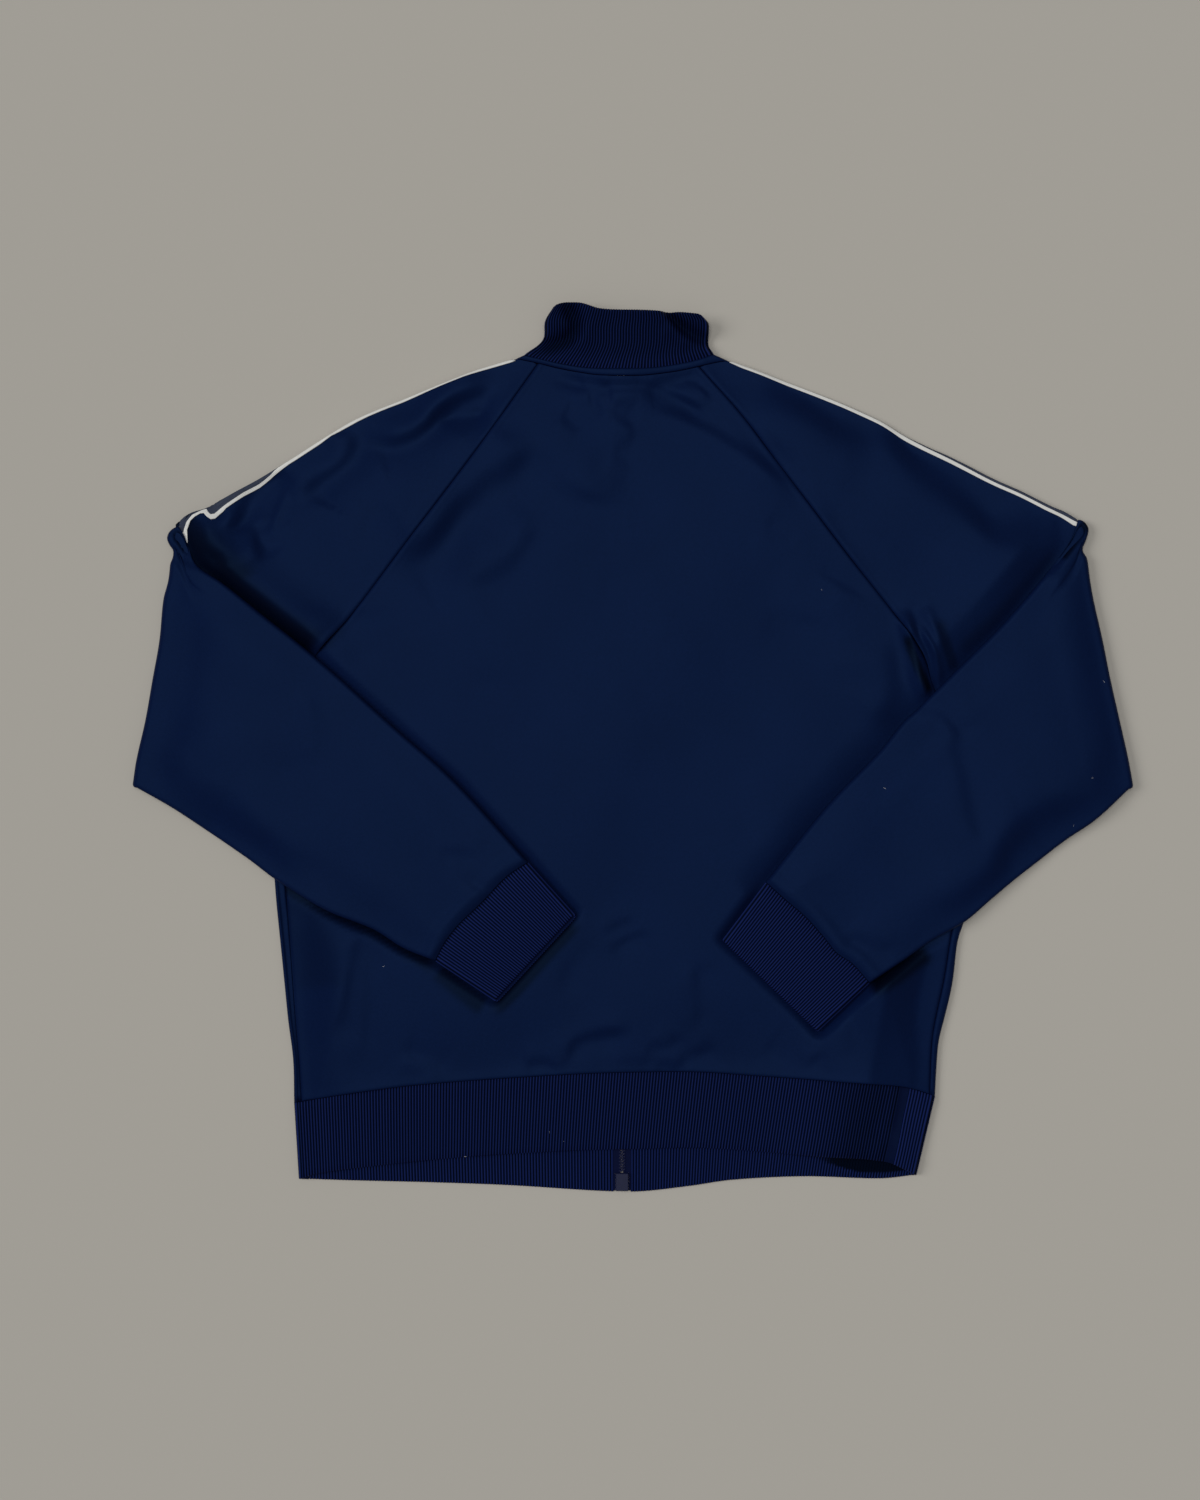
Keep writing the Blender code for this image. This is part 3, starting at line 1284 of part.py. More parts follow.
def block(name, low, high, colour, metallic=0.0, roughness=0.4, bevel=0.0, cutter=False):
    """A box between two corners, in millimetres."""
    shape = bmesh.new()
    bmesh.ops.create_cube(shape, size=1.0)
    size = Vector(high) - Vector(low)
    middle = 0.5 * (Vector(high) + Vector(low))
    for vert in shape.verts:
        vert.co = Vector((vert.co.x * size.x, vert.co.y * size.y, vert.co.z * size.z)) * MM
    mesh = bpy.data.meshes.new(name)
    shape.to_mesh(mesh)
    shape.free()
    if cutter:
        made = bpy.data.objects.new(name, mesh)
        CUTTERS.objects.link(made)
        made.hide_render = True
        made.display_type = "WIRE"
    else:
        made = add_object(name, mesh, colour, roughness, metallic)
    made.location = (middle - Vector((MIDDLE_X, MIDDLE_Y, 0.0))) * MM
    if bevel:
        soften = made.modifiers.new("Soft edges", "BEVEL")
        soften.width = bevel * MM
        soften.segments = 1
    return made


def join_or_cut(target, other, operation):
    step = target.modifiers.new(operation.title() + " " + other.name, "BOOLEAN")
    step.operation = operation
    step.object = other
    step.solver = "EXACT"


def build_zip_box():
    hem_y = at(HEM["front edge"], step_at_x(HEM["front edge"], ZIP_X)).y
    low = (ZIP_X - 0.5 * BOX_WIDTH, hem_y, 0.2)
    high = (ZIP_X + 0.5 * BOX_WIDTH, hem_y + BOX_LENGTH, 0.2 + BOX_THICKNESS)
    block("zip_box", low, high, ZIP_METAL, 0.0, 0.35, 0.5)


def build_slider():
    """The slider: two plates joined at the top, and a bridge under it that holds the pull."""
    channel_low = ZIP_BASE + ZIP_LIFT - 0.2
    channel_high = channel_low + BEAD_THICKNESS + 0.4
    plate = 0.7
    low_y = SLIDER_TOP_Y - SLIDER_LENGTH
    half = 0.5 * SLIDER_WIDTH
    body = block(
        "zip_slider", (ZIP_X - half, low_y, channel_low - plate),
        (ZIP_X + half, SLIDER_TOP_Y, channel_high + plate), ZIP_METAL, 1.0, 0.35,
    )
    channel = block(
        "slider_channel", (ZIP_X - 12.0, low_y - 5.0, channel_low),
        (ZIP_X + 12.0, 298.4, channel_high), ZIP_METAL, cutter=True,
    )
    bridge = block(
        "slider_bridge", (ZIP_X - 1.2, 292.6, 0.1), (ZIP_X + 1.2, 300.0, channel_low - plate + 0.3),
        ZIP_METAL, cutter=True,
    )
    eye = block(
        "slider_eye", (ZIP_X - 3.0, 293.6, 0.6), (ZIP_X + 3.0, 299.0, channel_low - plate),
        ZIP_METAL, cutter=True,
    )
    join_or_cut(body, bridge, "UNION")
    join_or_cut(body, channel, "DIFFERENCE")
    join_or_cut(body, eye, "DIFFERENCE")


def build_pull():
    """The pull: a flat tab with a window at one end, whose crossbar turns in the slider's bridge."""
    bar = 0.5 * PULL_THICKNESS
    pivot = bpy.data.objects.new("pull_pivot", None)
    JACKET.objects.link(pivot)
    pivot.location = Vector((ZIP_X - MIDDLE_X, PULL_AXIS_Y - MIDDLE_Y, PULL_AXIS_Z)) * MM
    half = 0.5 * PULL_WIDTH
    tab = block(
        "zip_pull", (ZIP_X - half, PULL_AXIS_Y - bar, PULL_AXIS_Z - bar),
        (ZIP_X + half, PULL_AXIS_Y + PULL_LENGTH, PULL_AXIS_Z + bar), ZIP_METAL, 1.0, 0.35,
    )
    window = block(
        "pull_window", (ZIP_X - 1.7, PULL_AXIS_Y + bar, PULL_AXIS_Z - 3.0),
        (ZIP_X + 1.7, PULL_AXIS_Y + 5.2, PULL_AXIS_Z + 3.0), ZIP_METAL, cutter=True,
    )
    join_or_cut(tab, window, "DIFFERENCE")
    tab.parent = pivot
    tab.location = tab.location - pivot.location


for old in list(bpy.data.objects):
    bpy.data.objects.remove(old)

JACKET = bpy.data.collections.new("Track jacket")
CUTTERS = bpy.data.collections.new("Cutters")
bpy.context.scene.collection.children.link(JACKET)
bpy.context.scene.collection.children.link(CUTTERS)
CUTTERS.hide_render = True

LEFT = Side("left")
RIGHT = Side("right")
HEM = hem_lines(LEFT, RIGHT)

build_back(LEFT, RIGHT)
for each in (LEFT, RIGHT):
    build_front(each)
    arm = build_sleeve(each)
    build_tape(each, arm)
    build_cuff(each, arm)
    build_hem_front(each)
    build_zip_half(each)
build_hem_back()
build_neck_band(LEFT, RIGHT)
build_collar(LEFT, RIGHT)
build_zip_box()
build_slider()
build_pull()
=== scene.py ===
"""A knitted track jacket that lies face down, with its sleeves folded back over its back.

Tables are in millimetres, seen from above: x to the wearer's right, y towards the collar, z up.
"""

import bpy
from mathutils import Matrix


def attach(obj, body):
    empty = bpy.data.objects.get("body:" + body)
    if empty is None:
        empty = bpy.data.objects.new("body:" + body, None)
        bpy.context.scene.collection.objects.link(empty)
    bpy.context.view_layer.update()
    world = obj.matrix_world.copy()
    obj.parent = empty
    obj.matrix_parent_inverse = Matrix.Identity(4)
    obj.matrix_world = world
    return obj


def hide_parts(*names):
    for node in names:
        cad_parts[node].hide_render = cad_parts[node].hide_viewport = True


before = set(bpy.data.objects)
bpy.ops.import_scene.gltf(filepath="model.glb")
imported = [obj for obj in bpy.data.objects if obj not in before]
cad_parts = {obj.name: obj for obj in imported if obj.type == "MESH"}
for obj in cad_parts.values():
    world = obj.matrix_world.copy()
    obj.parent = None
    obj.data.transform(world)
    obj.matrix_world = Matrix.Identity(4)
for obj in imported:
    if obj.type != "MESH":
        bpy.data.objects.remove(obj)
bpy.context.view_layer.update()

import math

import bpy
import numpy as np
from bpy.props import FloatProperty, FloatVectorProperty, PointerProperty

bl_info = {
    "name": "Track jacket",
    "version": (1, 0, 0),
    "blender": (4, 5, 0),
    "location": "View3D > Sidebar > Jacket",
    "description": "A knitted track jacket that lies face down with its sleeves folded over its back",
    "category": "Object",
}

MM = 0.001

SIDES = ("left", "right")
SIGN = {"left": -1.0, "right": 1.0}

# The place of the part's origin in the tables
ORIGIN = np.array((0.65, 0.23, 0.0))

# The lower layers' top: its full height, its height at edges, end seams and elbow folds with the way in from
# each of these to the full height, its least height under creases, and the radius of its edges
LOFT = 8.4
EDGE_LOFT, EDGE_TAPER = 4.4, 48.0
SEAM_LOFT, SEAM_TAPER = 5.9, 70.0
FOLD_LOFT, FOLD_TAPER = 5.4, 60.0
LEAST_LOFT = 2.7
EDGE_ROUND = 3.0
# A swell under the neck: place, reach and height
NECK_BUMP = (-8.0, 293.0, 27.0, 3.4)

# Seams: the groove's half width, the swell beside it as height, place and width, half of the gap between two
# pieces, and where the rows of points lie beside a seam, so that the edge can roll in
SEAM_GROOVE = 0.75
SEAM_SWELL = (0.22, 2.8, 1.8)
HALF_GAP = 0.17
SEAM_ROWS = (0.0, 0.3, 0.7, 1.2, 2.0, 3.4)
CUFF_ROWS = (0.0, 0.8, 1.8, 3.2, 5.0)

# Forearms: their thickness, the press on the layers under them (how deep, how far beyond the forearm on the
# body and on the upper arm, and beyond its other edges), and their sag past the lower layers' edge
FOREARM_LOFT = 7.6
FOREARM_EDGE_LOFT = 6.0
FOREARM_LEAST_LOFT = 2.6
FOREARM_ROUND = 2.6
PRESS = 4.6
PRESS_REACH = {"left": (9.0, 17.0), "right": (27.0, 25.0)}
PRESS_EDGE = 8.0
PRESS_FLOOR = 3.8
ARMHOLE_X, ARMHOLE_RUN = 235.0, 40.0
LAYER_GAP = 0.7
SAG_HEIGHT = 1.2
SAG_START = 8.0
SAG_RUN = 60.0

# Creases: how far they reach in widths, the shares of their length that fade at the start and the end, and
# the widths of a soft step's shoulder and of a standing fold's steep side
CREASE_REACH = 5.4
CREASE_FADES = (0.22, 0.26)
CREASE_SHOULDER = 2.4
FOLD_STEEP_SIDE = 1.8

# Ribbed pieces: their thickness as flat tubes, the collar's rise to its top, the radius of their edges, the
# columns of points to a rib, and the collar's width at the back and from the edge to the zip
HEM_LOFT = 5.2
CUFF_LOFT = 5.4
COLLAR_LOFT = 6.6
COLLAR_RISE = 8.5
RIB_ROUND = 3.4
RIB_COLUMNS = 6
COLLAR_WIDTH = 140.0
COLLAR_FRONT_WIDTH = 90.0

# Rows and columns of points on the cloth
PANEL_LENGTH, PANEL_ROWS, PANEL_COLUMNS = 570.0, 184, 176
FRONT_ROWS, FRONT_COLUMNS = 110, 60
UPPER_ARM_LENGTH, UPPER_ARM_ROWS = 330.0, 90
FOREARM_LENGTH, FOREARM_ROWS = 430.0, 100
SLEEVE_COLUMNS = 94
EDGE_COLUMNS = 7
ELBOW_ROWS = 14

# Room under the upper arm for the tape, and the sleeve's columns that the tape lies on, over and under
TAPE_ROOM = 1.15
TAPE_ROOM_WIDTH = 27.0
TAPE_OVER, TAPE_UNDER = 30, 40
TAPE_THREADS = 24.0

# The zip: its place, its room between the fronts, its height over the ground, its lift towards the collar,
# and its teeth and box
ZIP_X = -8.0
ZIP_RECESS = 13.6
ZIP_BASE = 0.3
ZIP_LIFT = 3.2
ZIP_LIFT_START, ZIP_TOP = 258.0, 298.0
BEAD_THICKNESS = 2.0
BOX_LENGTH = 14.2
BOX_WIDTH = 10.2
TOOTH_PITCH = 2.5

SHOULDER = {
    "left": (
        (-92.7, 310.8), (-121.5, 302.0), (-142.3, 294.0), (-181.4, 278.1), (-219.8, 262.1),
        (-246.9, 246.1), (-271.7, 230.1), (-298.1, 214.1), (-313.6, 205.6), (-327.0, 198.0),
        (-340.2, 190.6), (-351.0, 187.2), (-359.0, 182.0), (-364.0, 177.0),
    ),
    "right": (
        (76.7, 309.2), (96.6, 302.0), (117.4, 294.0), (159.0, 278.1), (194.9, 262.1),
        (222.9, 246.1), (258.0, 230.1), (289.2, 214.1), (308.8, 205.4), (321.6, 199.0),
        (334.4, 192.6), (345.0, 188.2), (355.8, 181.8),
    ),
}
UNDERARM = {
    "left": ((-293.2, 8.8), (-329.1, -9.6), (-365.1, -24.0), (-398.0, -31.0)),
    "right": ((281.9, -1.6), (317.9, -17.6), (357.8, -27.2), (399.0, -31.8)),
}
SIDE_EDGE = {
    "left": (
        (-270.0, -283.6), (-270.8, -249.2), (-274.8, -217.3), (-278.0, -185.3), (-281.2, -153.4),
        (-284.4, -121.4), (-289.2, -57.5), (-293.2, 8.8),
    ),
    "right": (
        (242.0, -278.0), (243.6, -249.2), (245.2, -233.3), (249.2, -217.3), (253.2, -201.3),
        (256.4, -185.3), (260.4, -153.4), (266.8, -133.4), (274.7, -73.5), (281.9, -1.6),
    ),
}
SIDE_SEAM = {
    "left": (
        (-264.1, -282.4), (-265.7, -256.8), (-268.9, -217.0), (-272.9, -161.1), (-276.0, -121.2),
        (-280.8, -65.4), (-287.0, 18.0),
    ),
    "right": (
        (237.6, -276.4), (239.6, -232.9), (244.0, -208.0), (249.0, -185.2), (256.0, -141.2),
        (266.7, -81.4), (276.0, 4.0),
    ),
}
RAGLAN = {
    "left": (
        (-287.0, 18.0), (-274.5, 38.3), (-253.7, 72.0), (-225.0, 104.7), (-190.7, 149.9),
        (-125.3, 236.1), (-75.1, 306.9),
    ),
    "right": (
        (276.0, 4.0), (257.5, 23.0), (240.8, 48.6), (232.8, 72.6), (214.5, 99.7),
        (171.4, 154.7), (116.4, 227.3), (86.1, 267.2), (53.4, 304.3),
    ),
}
FRONT_RAGLAN = {
    "left": (
        (-290.5, 13.0), (-273.0, 37.0), (-240.0, 80.0), (-190.0, 142.0), (-130.0, 219.0), (-82.0, 280.0),
    ),
    "right": (
        (279.2, 2.4), (262.0, 26.0), (228.0, 72.0), (178.0, 138.0), (118.0, 214.0), (63.0, 280.0),
    ),
}
FOLD = {
    "left": (
        (-365.6, 177.0), (-370.6, 172.6), (-372.4, 167.6), (-370.6, 162.6), (-367.4, 157.4),
        (-368.6, 148.0), (-370.2, 134.0), (-374.2, 118.0), (-377.3, 86.1),
        (-382.9, 54.2), (-388.5, 22.3), (-395.7, -9.6), (-398.9, -31.1),
    ),
    "right": (
        (359.6, 182.6), (363.6, 179.2), (365.6, 174.4), (363.4, 165.8), (360.8, 159.0),
        (363.4, 150.4), (365.6, 134.0), (368.4, 118.0), (375.6, 86.1),
        (382.0, 54.2), (389.2, 22.3), (396.3, -9.6), (400.3, -31.9),
    ),
}
FOREARM_TOP = {
    "left": (
        (-360.0, 176.0), (-357.2, 169.4), (-354.0, 160.0), (-347.4, 146.0), (-327.0, 132.0),
        (-302.0, 112.2), (-253.4, 73.3),
        (-187.3, 14.3), (-141.9, -26.3), (-82.9, -90.8),
    ),
    "right": (
        (355.0, 180.0), (352.4, 171.2), (347.4, 161.4), (335.2, 144.9), (298.5, 101.9),
        (259.5, 62.9), (241.2, 44.6),
        (227.7, 31.1), (215.7, 20.3), (198.2, -1.6), (156.8, -44.6), (106.6, -106.7),
    ),
}
FOREARM_LOW = {
    "left": (
        (-392.0, -30.0), (-366.6, -47.8), (-340.3, -65.3), (-306.1, -88.5), (-283.8, -105.2),
        (-244.7, -129.1), (-205.7, -145.0), (-182.6, -159.4), (-157.1, -169.7),
    ),
    "right": (
        (394.0, -35.0), (369.6, -57.4), (346.5, -73.3), (325.8, -89.2), (305.1, -105.2),
        (285.9, -121.1), (265.2, -138.6), (237.3, -154.6), (215.8, -169.7), (189.5, -187.3),
    ),
}
CUFF_SEAM = {
    "left": ((-82.9, -90.8), (-100.4, -102.6), (-119.5, -122.5), (-138.6, -140.8), (-149.7, -155.2),
             (-157.1, -169.7)),
    "right": ((106.6, -106.7), (122.4, -120.9), (138.3, -134.5), (152.6, -150.4), (163.0, -163.1),
              (174.9, -171.1), (189.5, -187.3)),
}
CUFF_END = {
    "left": ((-46.3, -131.4), (-110.4, -200.7)),
    "right": ((72.4, -152.1), (148.8, -225.4)),
}
# How far the cuff's lower layer shows past its upper one
CUFF_PEEK = {"left": 3.0, "right": 0.6}

BACK_HEM_SEAM = (
    (-270.0, -283.6), (-225.0, -276.0), (-167.6, -268.8), (-52.7, -260.9), (6.3, -258.9),
    (54.2, -258.9), (96.5, -261.7), (157.9, -265.7), (214.5, -270.4), (242.0, -278.0),
)
BACK_HEM_EDGE = (
    (-266.3, -343.6), (-252.2, -339.2), (-213.1, -333.6), (-133.3, -325.6), (-52.7, -320.8),
    (6.3, -319.2), (55.8, -318.4), (137.2, -324.0), (202.6, -329.6), (227.2, -340.4),
)
FRONT_HEM_SEAM = (
    (-270.0, -283.6), (-185.5, -287.1), (-105.6, -290.3), (-25.6, -293.5), (11.2, -293.5),
    (76.7, -286.3), (137.5, -282.3), (199.1, -281.5), (242.0, -278.0),
)
FRONT_HEM_EDGE = (
    (-266.3, -343.6), (-223.9, -345.0), (-159.9, -346.6), (-96.0, -349.0), (-25.6, -353.4),
    (6.4, -353.8), (46.4, -349.4), (79.9, -344.6), (137.5, -341.8), (199.1, -343.4), (227.2, -340.4),
)
# The hem's width straight across and along its curve, where the plain strip lies as shares of the width, and
# how far the back's band turns under
HEM_WIDTH = 505.0
HEM_CURVE = 512.0
PLAIN_STRIP = (0.943, 0.958)
HEM_TURN_UNDER = 8.0

BAND_LOW = (
    (-92.7, 310.8), (-75.1, 306.9), (-59.9, 303.1), (-44.3, 299.9), (-24.0, 296.9), (6.3, 296.7),
    (27.0, 299.1), (39.8, 301.3), (53.4, 304.3), (66.1, 307.4), (76.7, 309.2),
)
BAND_TOP = (
    (-86.2, 313.8), (-71.1, 309.9), (-54.5, 306.3), (-34.4, 303.3), (-10.0, 302.7), (14.3, 303.3),
    (35.8, 306.3), (52.3, 309.9), (65.1, 314.4),
)
COLLAR_TOP = (
    (-63.1, 350.1), (-53.5, 354.1), (-41.6, 353.3), (-25.6, 348.5), (14.3, 347.0), (51.8, 344.6),
    (57.4, 342.2),
)
COLLAR_FOLD = {
    "left": ((-86.2, 313.8), (-71.1, 326.0), (-69.5, 339.9), (-63.1, 350.1)),
    "right": ((65.1, 314.4), (61.0, 321.6), (61.0, 337.6), (57.4, 342.2)),
}
FRONT_BAND_LOW = {
    "left": ((-92.7, 310.8), (-90.0, 295.0), (-82.0, 280.0), (-65.0, 262.5), (-39.0, 253.6), (-14.8, 252.0)),
    "right": ((76.7, 309.2), (72.0, 294.0), (63.0, 280.0), (46.0, 262.5), (22.0, 253.6), (-1.2, 252.0)),
}
FRONT_BAND_TOP = {
    "left": ((-86.2, 313.8), (-84.0, 297.0), (-76.6, 283.0), (-61.0, 268.0), (-37.0, 259.4), (-14.8, 258.0)),
    "right": ((65.1, 314.4), (64.5, 297.0), (57.5, 283.0), (42.5, 268.0), (20.0, 259.4), (-1.2, 258.0)),
}
FRONT_COLLAR_TOP = {
    "left": ((-63.1, 350.1), (-58.0, 331.0), (-46.0, 315.0), (-29.0, 305.6), (-14.8, 303.0)),
    "right": ((57.4, 342.2), (51.0, 326.0), (37.0, 312.0), (17.0, 304.6), (-1.2, 303.0)),
}

# Creases, placed one by one. Each row is the line, the width, the depth and the lean. With no lean a crease
# is a trough. With some it is a soft step, which drops to the line's left for plus and to its right for
# minus.
# With a lean of 1 it is a fold that stands up, gentle on one side and steep on the other.
BACK_CREASES = (
    (((-74, 252), (-86, 234), (-102, 220), (-117, 212), (-126, 203), (-138, 194), (-148, 181), (-158, 168),
      (-170, 158), (-184, 150), (-198, 138)), 16, 8.8, 0.5),
    (((-71, 184), (-83, 168), (-94, 152), (-110, 140), (-130, 131), (-143, 125)), 14, 4.0, 0.5),
    (((-67, 216), (-54, 208), (-38, 202), (-22, 198), (-2, 198)), 13, 3.2, -0.5),
    (((-58, 267), (-50, 258), (-42, 250)), 5.4, 1.9, 0.4),
    (((-74, 300), (-50, 292), (-30, 289), (-6, 288), (24, 290), (46, 295), (66, 301)), 4.5, 2.0, 0.0),
    (((-52, 279), (-39, 272), (-26, 279)), 5.1, 1.3, -0.35),
    (((-38, 281), (-26, 286), (-14, 288)), 5.1, 2.7, -0.4),
    (((-18, 274), (-12, 264), (-4, 258), (6, 254)), 7, 2.8, 0.5),
    (((-26, 144), (0, 140), (18, 134)), 13.5, 1.4, -0.35),
    (((-17, 238), (-7, 229), (1, 218)), 7.5, 1.4, 0.4),
    (((-228, 116), (-228, 88), (-213, 58)), 13.5, 2.2, 0.35),
    (((5, 286), (18, 288), (30, 284), (46, 276), (62, 269)), 4.5, 3, -0.5),
    (((6, 272), (22, 270), (38, 266), (54, 258), (66, 252), (78, 244), (90, 237), (102, 229), (122, 213),
      (136, 197)), 7.5, 3.7, 0.5),
    (((40, 294), (54, 287), (65, 277)), 3.9, 1.6, 0.5),
    (((146, 140), (162, 133), (174, 126), (190, 117)), 5.1, 1.9, 0.4),
    (((104, 112), (126, 104), (146, 100), (172, 93)), 12, 1.6, -0.4),
    (((104, 180), (128, 161)), 10.5, 1.3, 0.35),
    (((205, 92), (209, 66), (206, 34), (190, 10)), 13, 3.6, 0.5),
    (((218, 112), (223, 88), (227, 70), (231, 54), (238, 30)), 3.4, 5.5, 1.0),
    (((-216, -140), (-222, -166), (-226, -186), (-231, -210), (-238, -226), (-243, -242)), 8.25, 3.2, 0.5),
    (((-210, -156), (-211, -186), (-212, -210), (-212, -234), (-211, -256)), 6.75, 1.6, 0.4),
    (((-262, -120), (-240, -142), (-222, -158)), 16.5, 2.6, 0.35),
    (((-264, -80), (-252, -140), (-246, -210), (-238, -330)), 24, 5.5, -0.5),
    (((-186, -242), (-174, -248), (-163, -251), (-154, -258), (-148, -262)), 6, 1.9, 0.5),
    (((-88, -253), (-74, -250), (-66, -251), (-56, -259)), 5.4, 2.2, -0.5),
    (((-52, -252), (-50, -242), (-46, -235), (-35, -230), (-26, -228), (-14, -226), (2, -226)), 6, 3, -0.5),
    (((-30, -150), (-48, -170), (-54, -186), (-56, -204)), 9, 1.3, 0.35),
    (((-26, -151), (-16, -144), (-6, -139), (6, -135)), 5.4, 1.8, -0.4),
    (((-21, -163), (-8, -155), (2, -150), (16, -147)), 5.4, 2.1, -0.4),
    (((50, -168), (52, -194), (52, -214), (53, -228)), 7.5, 1.8, 0.4),
    (((12, -234), (24, -238), (32, -234), (40, -226)), 6, 1.9, -0.4),
    (((20, -251), (32, -254), (44, -251)), 5.4, 2.1, -0.4),
    (((36, -247), (54, -242), (68, -234)), 6, 1.8, -0.4),
    (((139, -255), (146, -248), (153, -241)), 4.2, 1.8, -0.4),
    (((168, -204), (174, -232), (166, -252)), 8, 1.8, 0.4),
    (((104, -241), (123, -252)), 9, 1.1, 0.35),
    (((209, -130), (205, -160), (202, -186), (199, -206), (194, -234), (189, -262), (182, -330)),
     18, 9.5, 1.0),
    (((-6, 60), (10, 12), (-2, -40)), 18, 0.8, 0.35),
    (((-90, 30), (-60, -8), (-52, -50)), 15, 0.8, 0.35),
    (((60, -20), (84, -52), (92, -90)), 15, 0.8, 0.35),
    (((-140, 60), (-100, 52), (-66, 60)), 13.5, 0.8, -0.35),
)
UPPER_ARM_CREASES = {
    "left": (
        (((-104, 291), (-123, 284), (-139, 278), (-153, 270), (-162, 259), (-174, 250), (-187, 245),
          (-203, 244), (-215, 237)), 9, 10.0, 0.5),
        (((-114, 270), (-134, 267), (-146, 266), (-156, 260)), 7, 5.0, 0.4),
        (((-222, 260), (-222, 246), (-227, 232), (-237, 222), (-251, 213), (-260, 203), (-264, 190)),
         10, 6.5, 0.5),
        (((-267, 220), (-286, 217), (-300, 208), (-309, 195), (-314, 182), (-323, 174), (-337, 178)),
         9, 7.0, 0.4),
        (((-304, 180), (-299, 162), (-292, 146)), 6, 4.5, 0.5),
        (((-275, 206), (-281, 190), (-288, 170)), 3.4, -1.1, 0.0),
        (((-205, 200), (-214, 174), (-217, 156)), 9.6, 1.4, 0.4),
        (((-366, 214), (-350, 180), (-333, 154), (-314, 136), (-292, 119), (-270, 102), (-248, 84),
          (-218, 56)), 9.5, 8.0, -1.0),
        (((-352, 186), (-346, 172), (-336, 156), (-322, 142)), 6.0, 4.0, 0.0),
    ),
    "right": (
        (((97, 292), (115, 283), (133, 274), (149, 264), (165, 254), (181, 248), (199, 240)), 14, 5.4, 0.5),
        (((190, 264), (208, 246), (218, 234), (230, 223), (246, 211), (261, 198), (274, 185), (286, 170),
          (300, 150)), 15, 6.6, 0.5),
        (((138, 208), (166, 166), (192, 132)), 7, -0.9, 0.0),
        (((216, 46), (232, 68), (248, 88), (270, 112), (290, 134), (310, 158), (330, 186)), 14, 6.8, -1.0),
        (((232, 116), (242, 90), (245, 66)), 4.6, -1.9, 0.0),
        (((220, 116), (224, 100)), 6.3, 2.1, 0.35),
        (((228, 100), (238, 80), (243, 64), (246, 44)), 3.0, -2.6, 0.0),
        (((234, 88), (237, 72), (240, 56), (242, 40)), 2.6, 2.6, 0.0),
    ),
}
FOREARM_CREASES = {
    "left": (
        (((-392, 10), (-358, -30), (-330, -50), (-303, -66), (-276, -90), (-244, -120)), 20, 5.4, -0.5),
        (((-156, -84), (-136, -82), (-116, -88)), 6.9, 1.7, -0.4),
        (((-137, -105), (-123, -112), (-110, -119)), 5.7, 1.8, 0.4),
        (((-262, 50), (-256, 14), (-258, -14)), 9, -0.8, 0.0),
        (((-340, 130), (-346, 60), (-356, -20)), 26, 5.0, -0.5),
        (((-300, 60), (-294, 10), (-270, -40)), 22, 1.6, 0.4),
    ),
    "right": (
        (((225, 28), (242, 29), (254, 19), (266, 1)), 5.4, 2.5, 0.4),
        (((246, 16), (256, -2), (262, -22), (266, -42), (272, -66), (279, -88)), 10, 2.8, 0.5),
        (((384, -33), (366, -39), (346, -46), (326, -54), (309, -66), (297, -82), (290, -98), (274, -112),
          (258, -122), (238, -127), (216, -134)), 15, 5.6, 0.5),
        (((169, -146), (190, -156), (212, -158)), 8.25, 1.8, -0.4),
        (((334, 126), (364, 152)), 5, -0.8, 0.0),
        (((358, 150), (368, 90), (380, 30), (388, -30)), 20, -3.2, 0.0),
    ),
}
# Slits where the elbow's fold rolls over itself
NUB_CREASES = {
    "left": (
        (((-371, 180), (-366, 173), (-361, 167), (-356, 160), (-350, 152)), 2.8, 5.0, 0.0),
        (((-380, 164), (-368, 158), (-356, 151), (-344, 142)), 3.0, 2.4, 0.0),
    ),
    "right": (
        (((371, 188), (366, 182), (360, 175), (354, 167), (348, 160), (340, 150), (328, 135)), 2.8, 5.0, 0.0),
    ),
}
# Painted shade, near black, in the deepest hollows, where the cloth closes on itself, and along the edges
# that forearms and cuffs overhang: line, width, share of the colour darkened
PAINTED_HOLLOWS = (
    (((-378, 186), (-356, 164), (-332, 142), (-308, 122)), 20.5, 0.82),
    (((-350, 158), (-318, 130), (-292, 108), (-268, 90), (-246, 76)), 12.5, 0.82),
    (((218, 92), (222, 78), (228, 64), (235, 50), (240, 42)), 3.8, 0.9),
    (((244, 104), (248, 88), (254, 72), (258, 60)), 4.6, 0.5),
    (((258, 72), (290, 104), (320, 134), (344, 160)), 6.0, 0.3),
    (((186, -190), (204, -182), (222, -170), (238, -160)), 9.5, 0.9),
    (((-290, -102), (-248, -127), (-206, -145), (-178, -162), (-150, -179)), 6.0, 0.8),
    (((-156, -175), (-140, -189), (-124, -202), (-116, -207)), 8.0, 0.75),
    (((-114, -212), (-96, -196), (-70, -167), (-42, -136)), 6.0, 0.85),
    (((-282, -112), (-258, -150), (-248, -196)), 22.0, 0.22),
)
# Painted shade, near black, in the slits at the elbows' nubs: line, width, share of the colour darkened
NUB_PAINTED_HOLLOWS = {
    "left": ((((-364, 171), (-360, 166), (-354, 158)), 4.0, 0.9),),
    "right": ((((366, 183), (359, 174), (351, 163), (341, 150)), 4.0, 0.9),),
}
COLLAR_CREASES = (
    (((-56, 364), (-51, 352), (-46, 343), (-44.5, 335), (-50, 326), (-60, 321), (-84, 315)), 5.6, 9.0, 0.0),
    (((-62, 356), (-60, 344), (-62, 334), (-70, 326)), 7, -2.6, 0.0),
    (((-36, 356), (-34, 342), (-36, 330), (-46, 318)), 7, -2.0, 0.0),
    (((18, 358), (30, 345), (41, 335), (52, 328), (62, 324), (80, 317)), 4.2, 8.0, 0.0),
    (((24, 338), (36, 328), (48, 321)), 7, -1.6, 0.0),
)
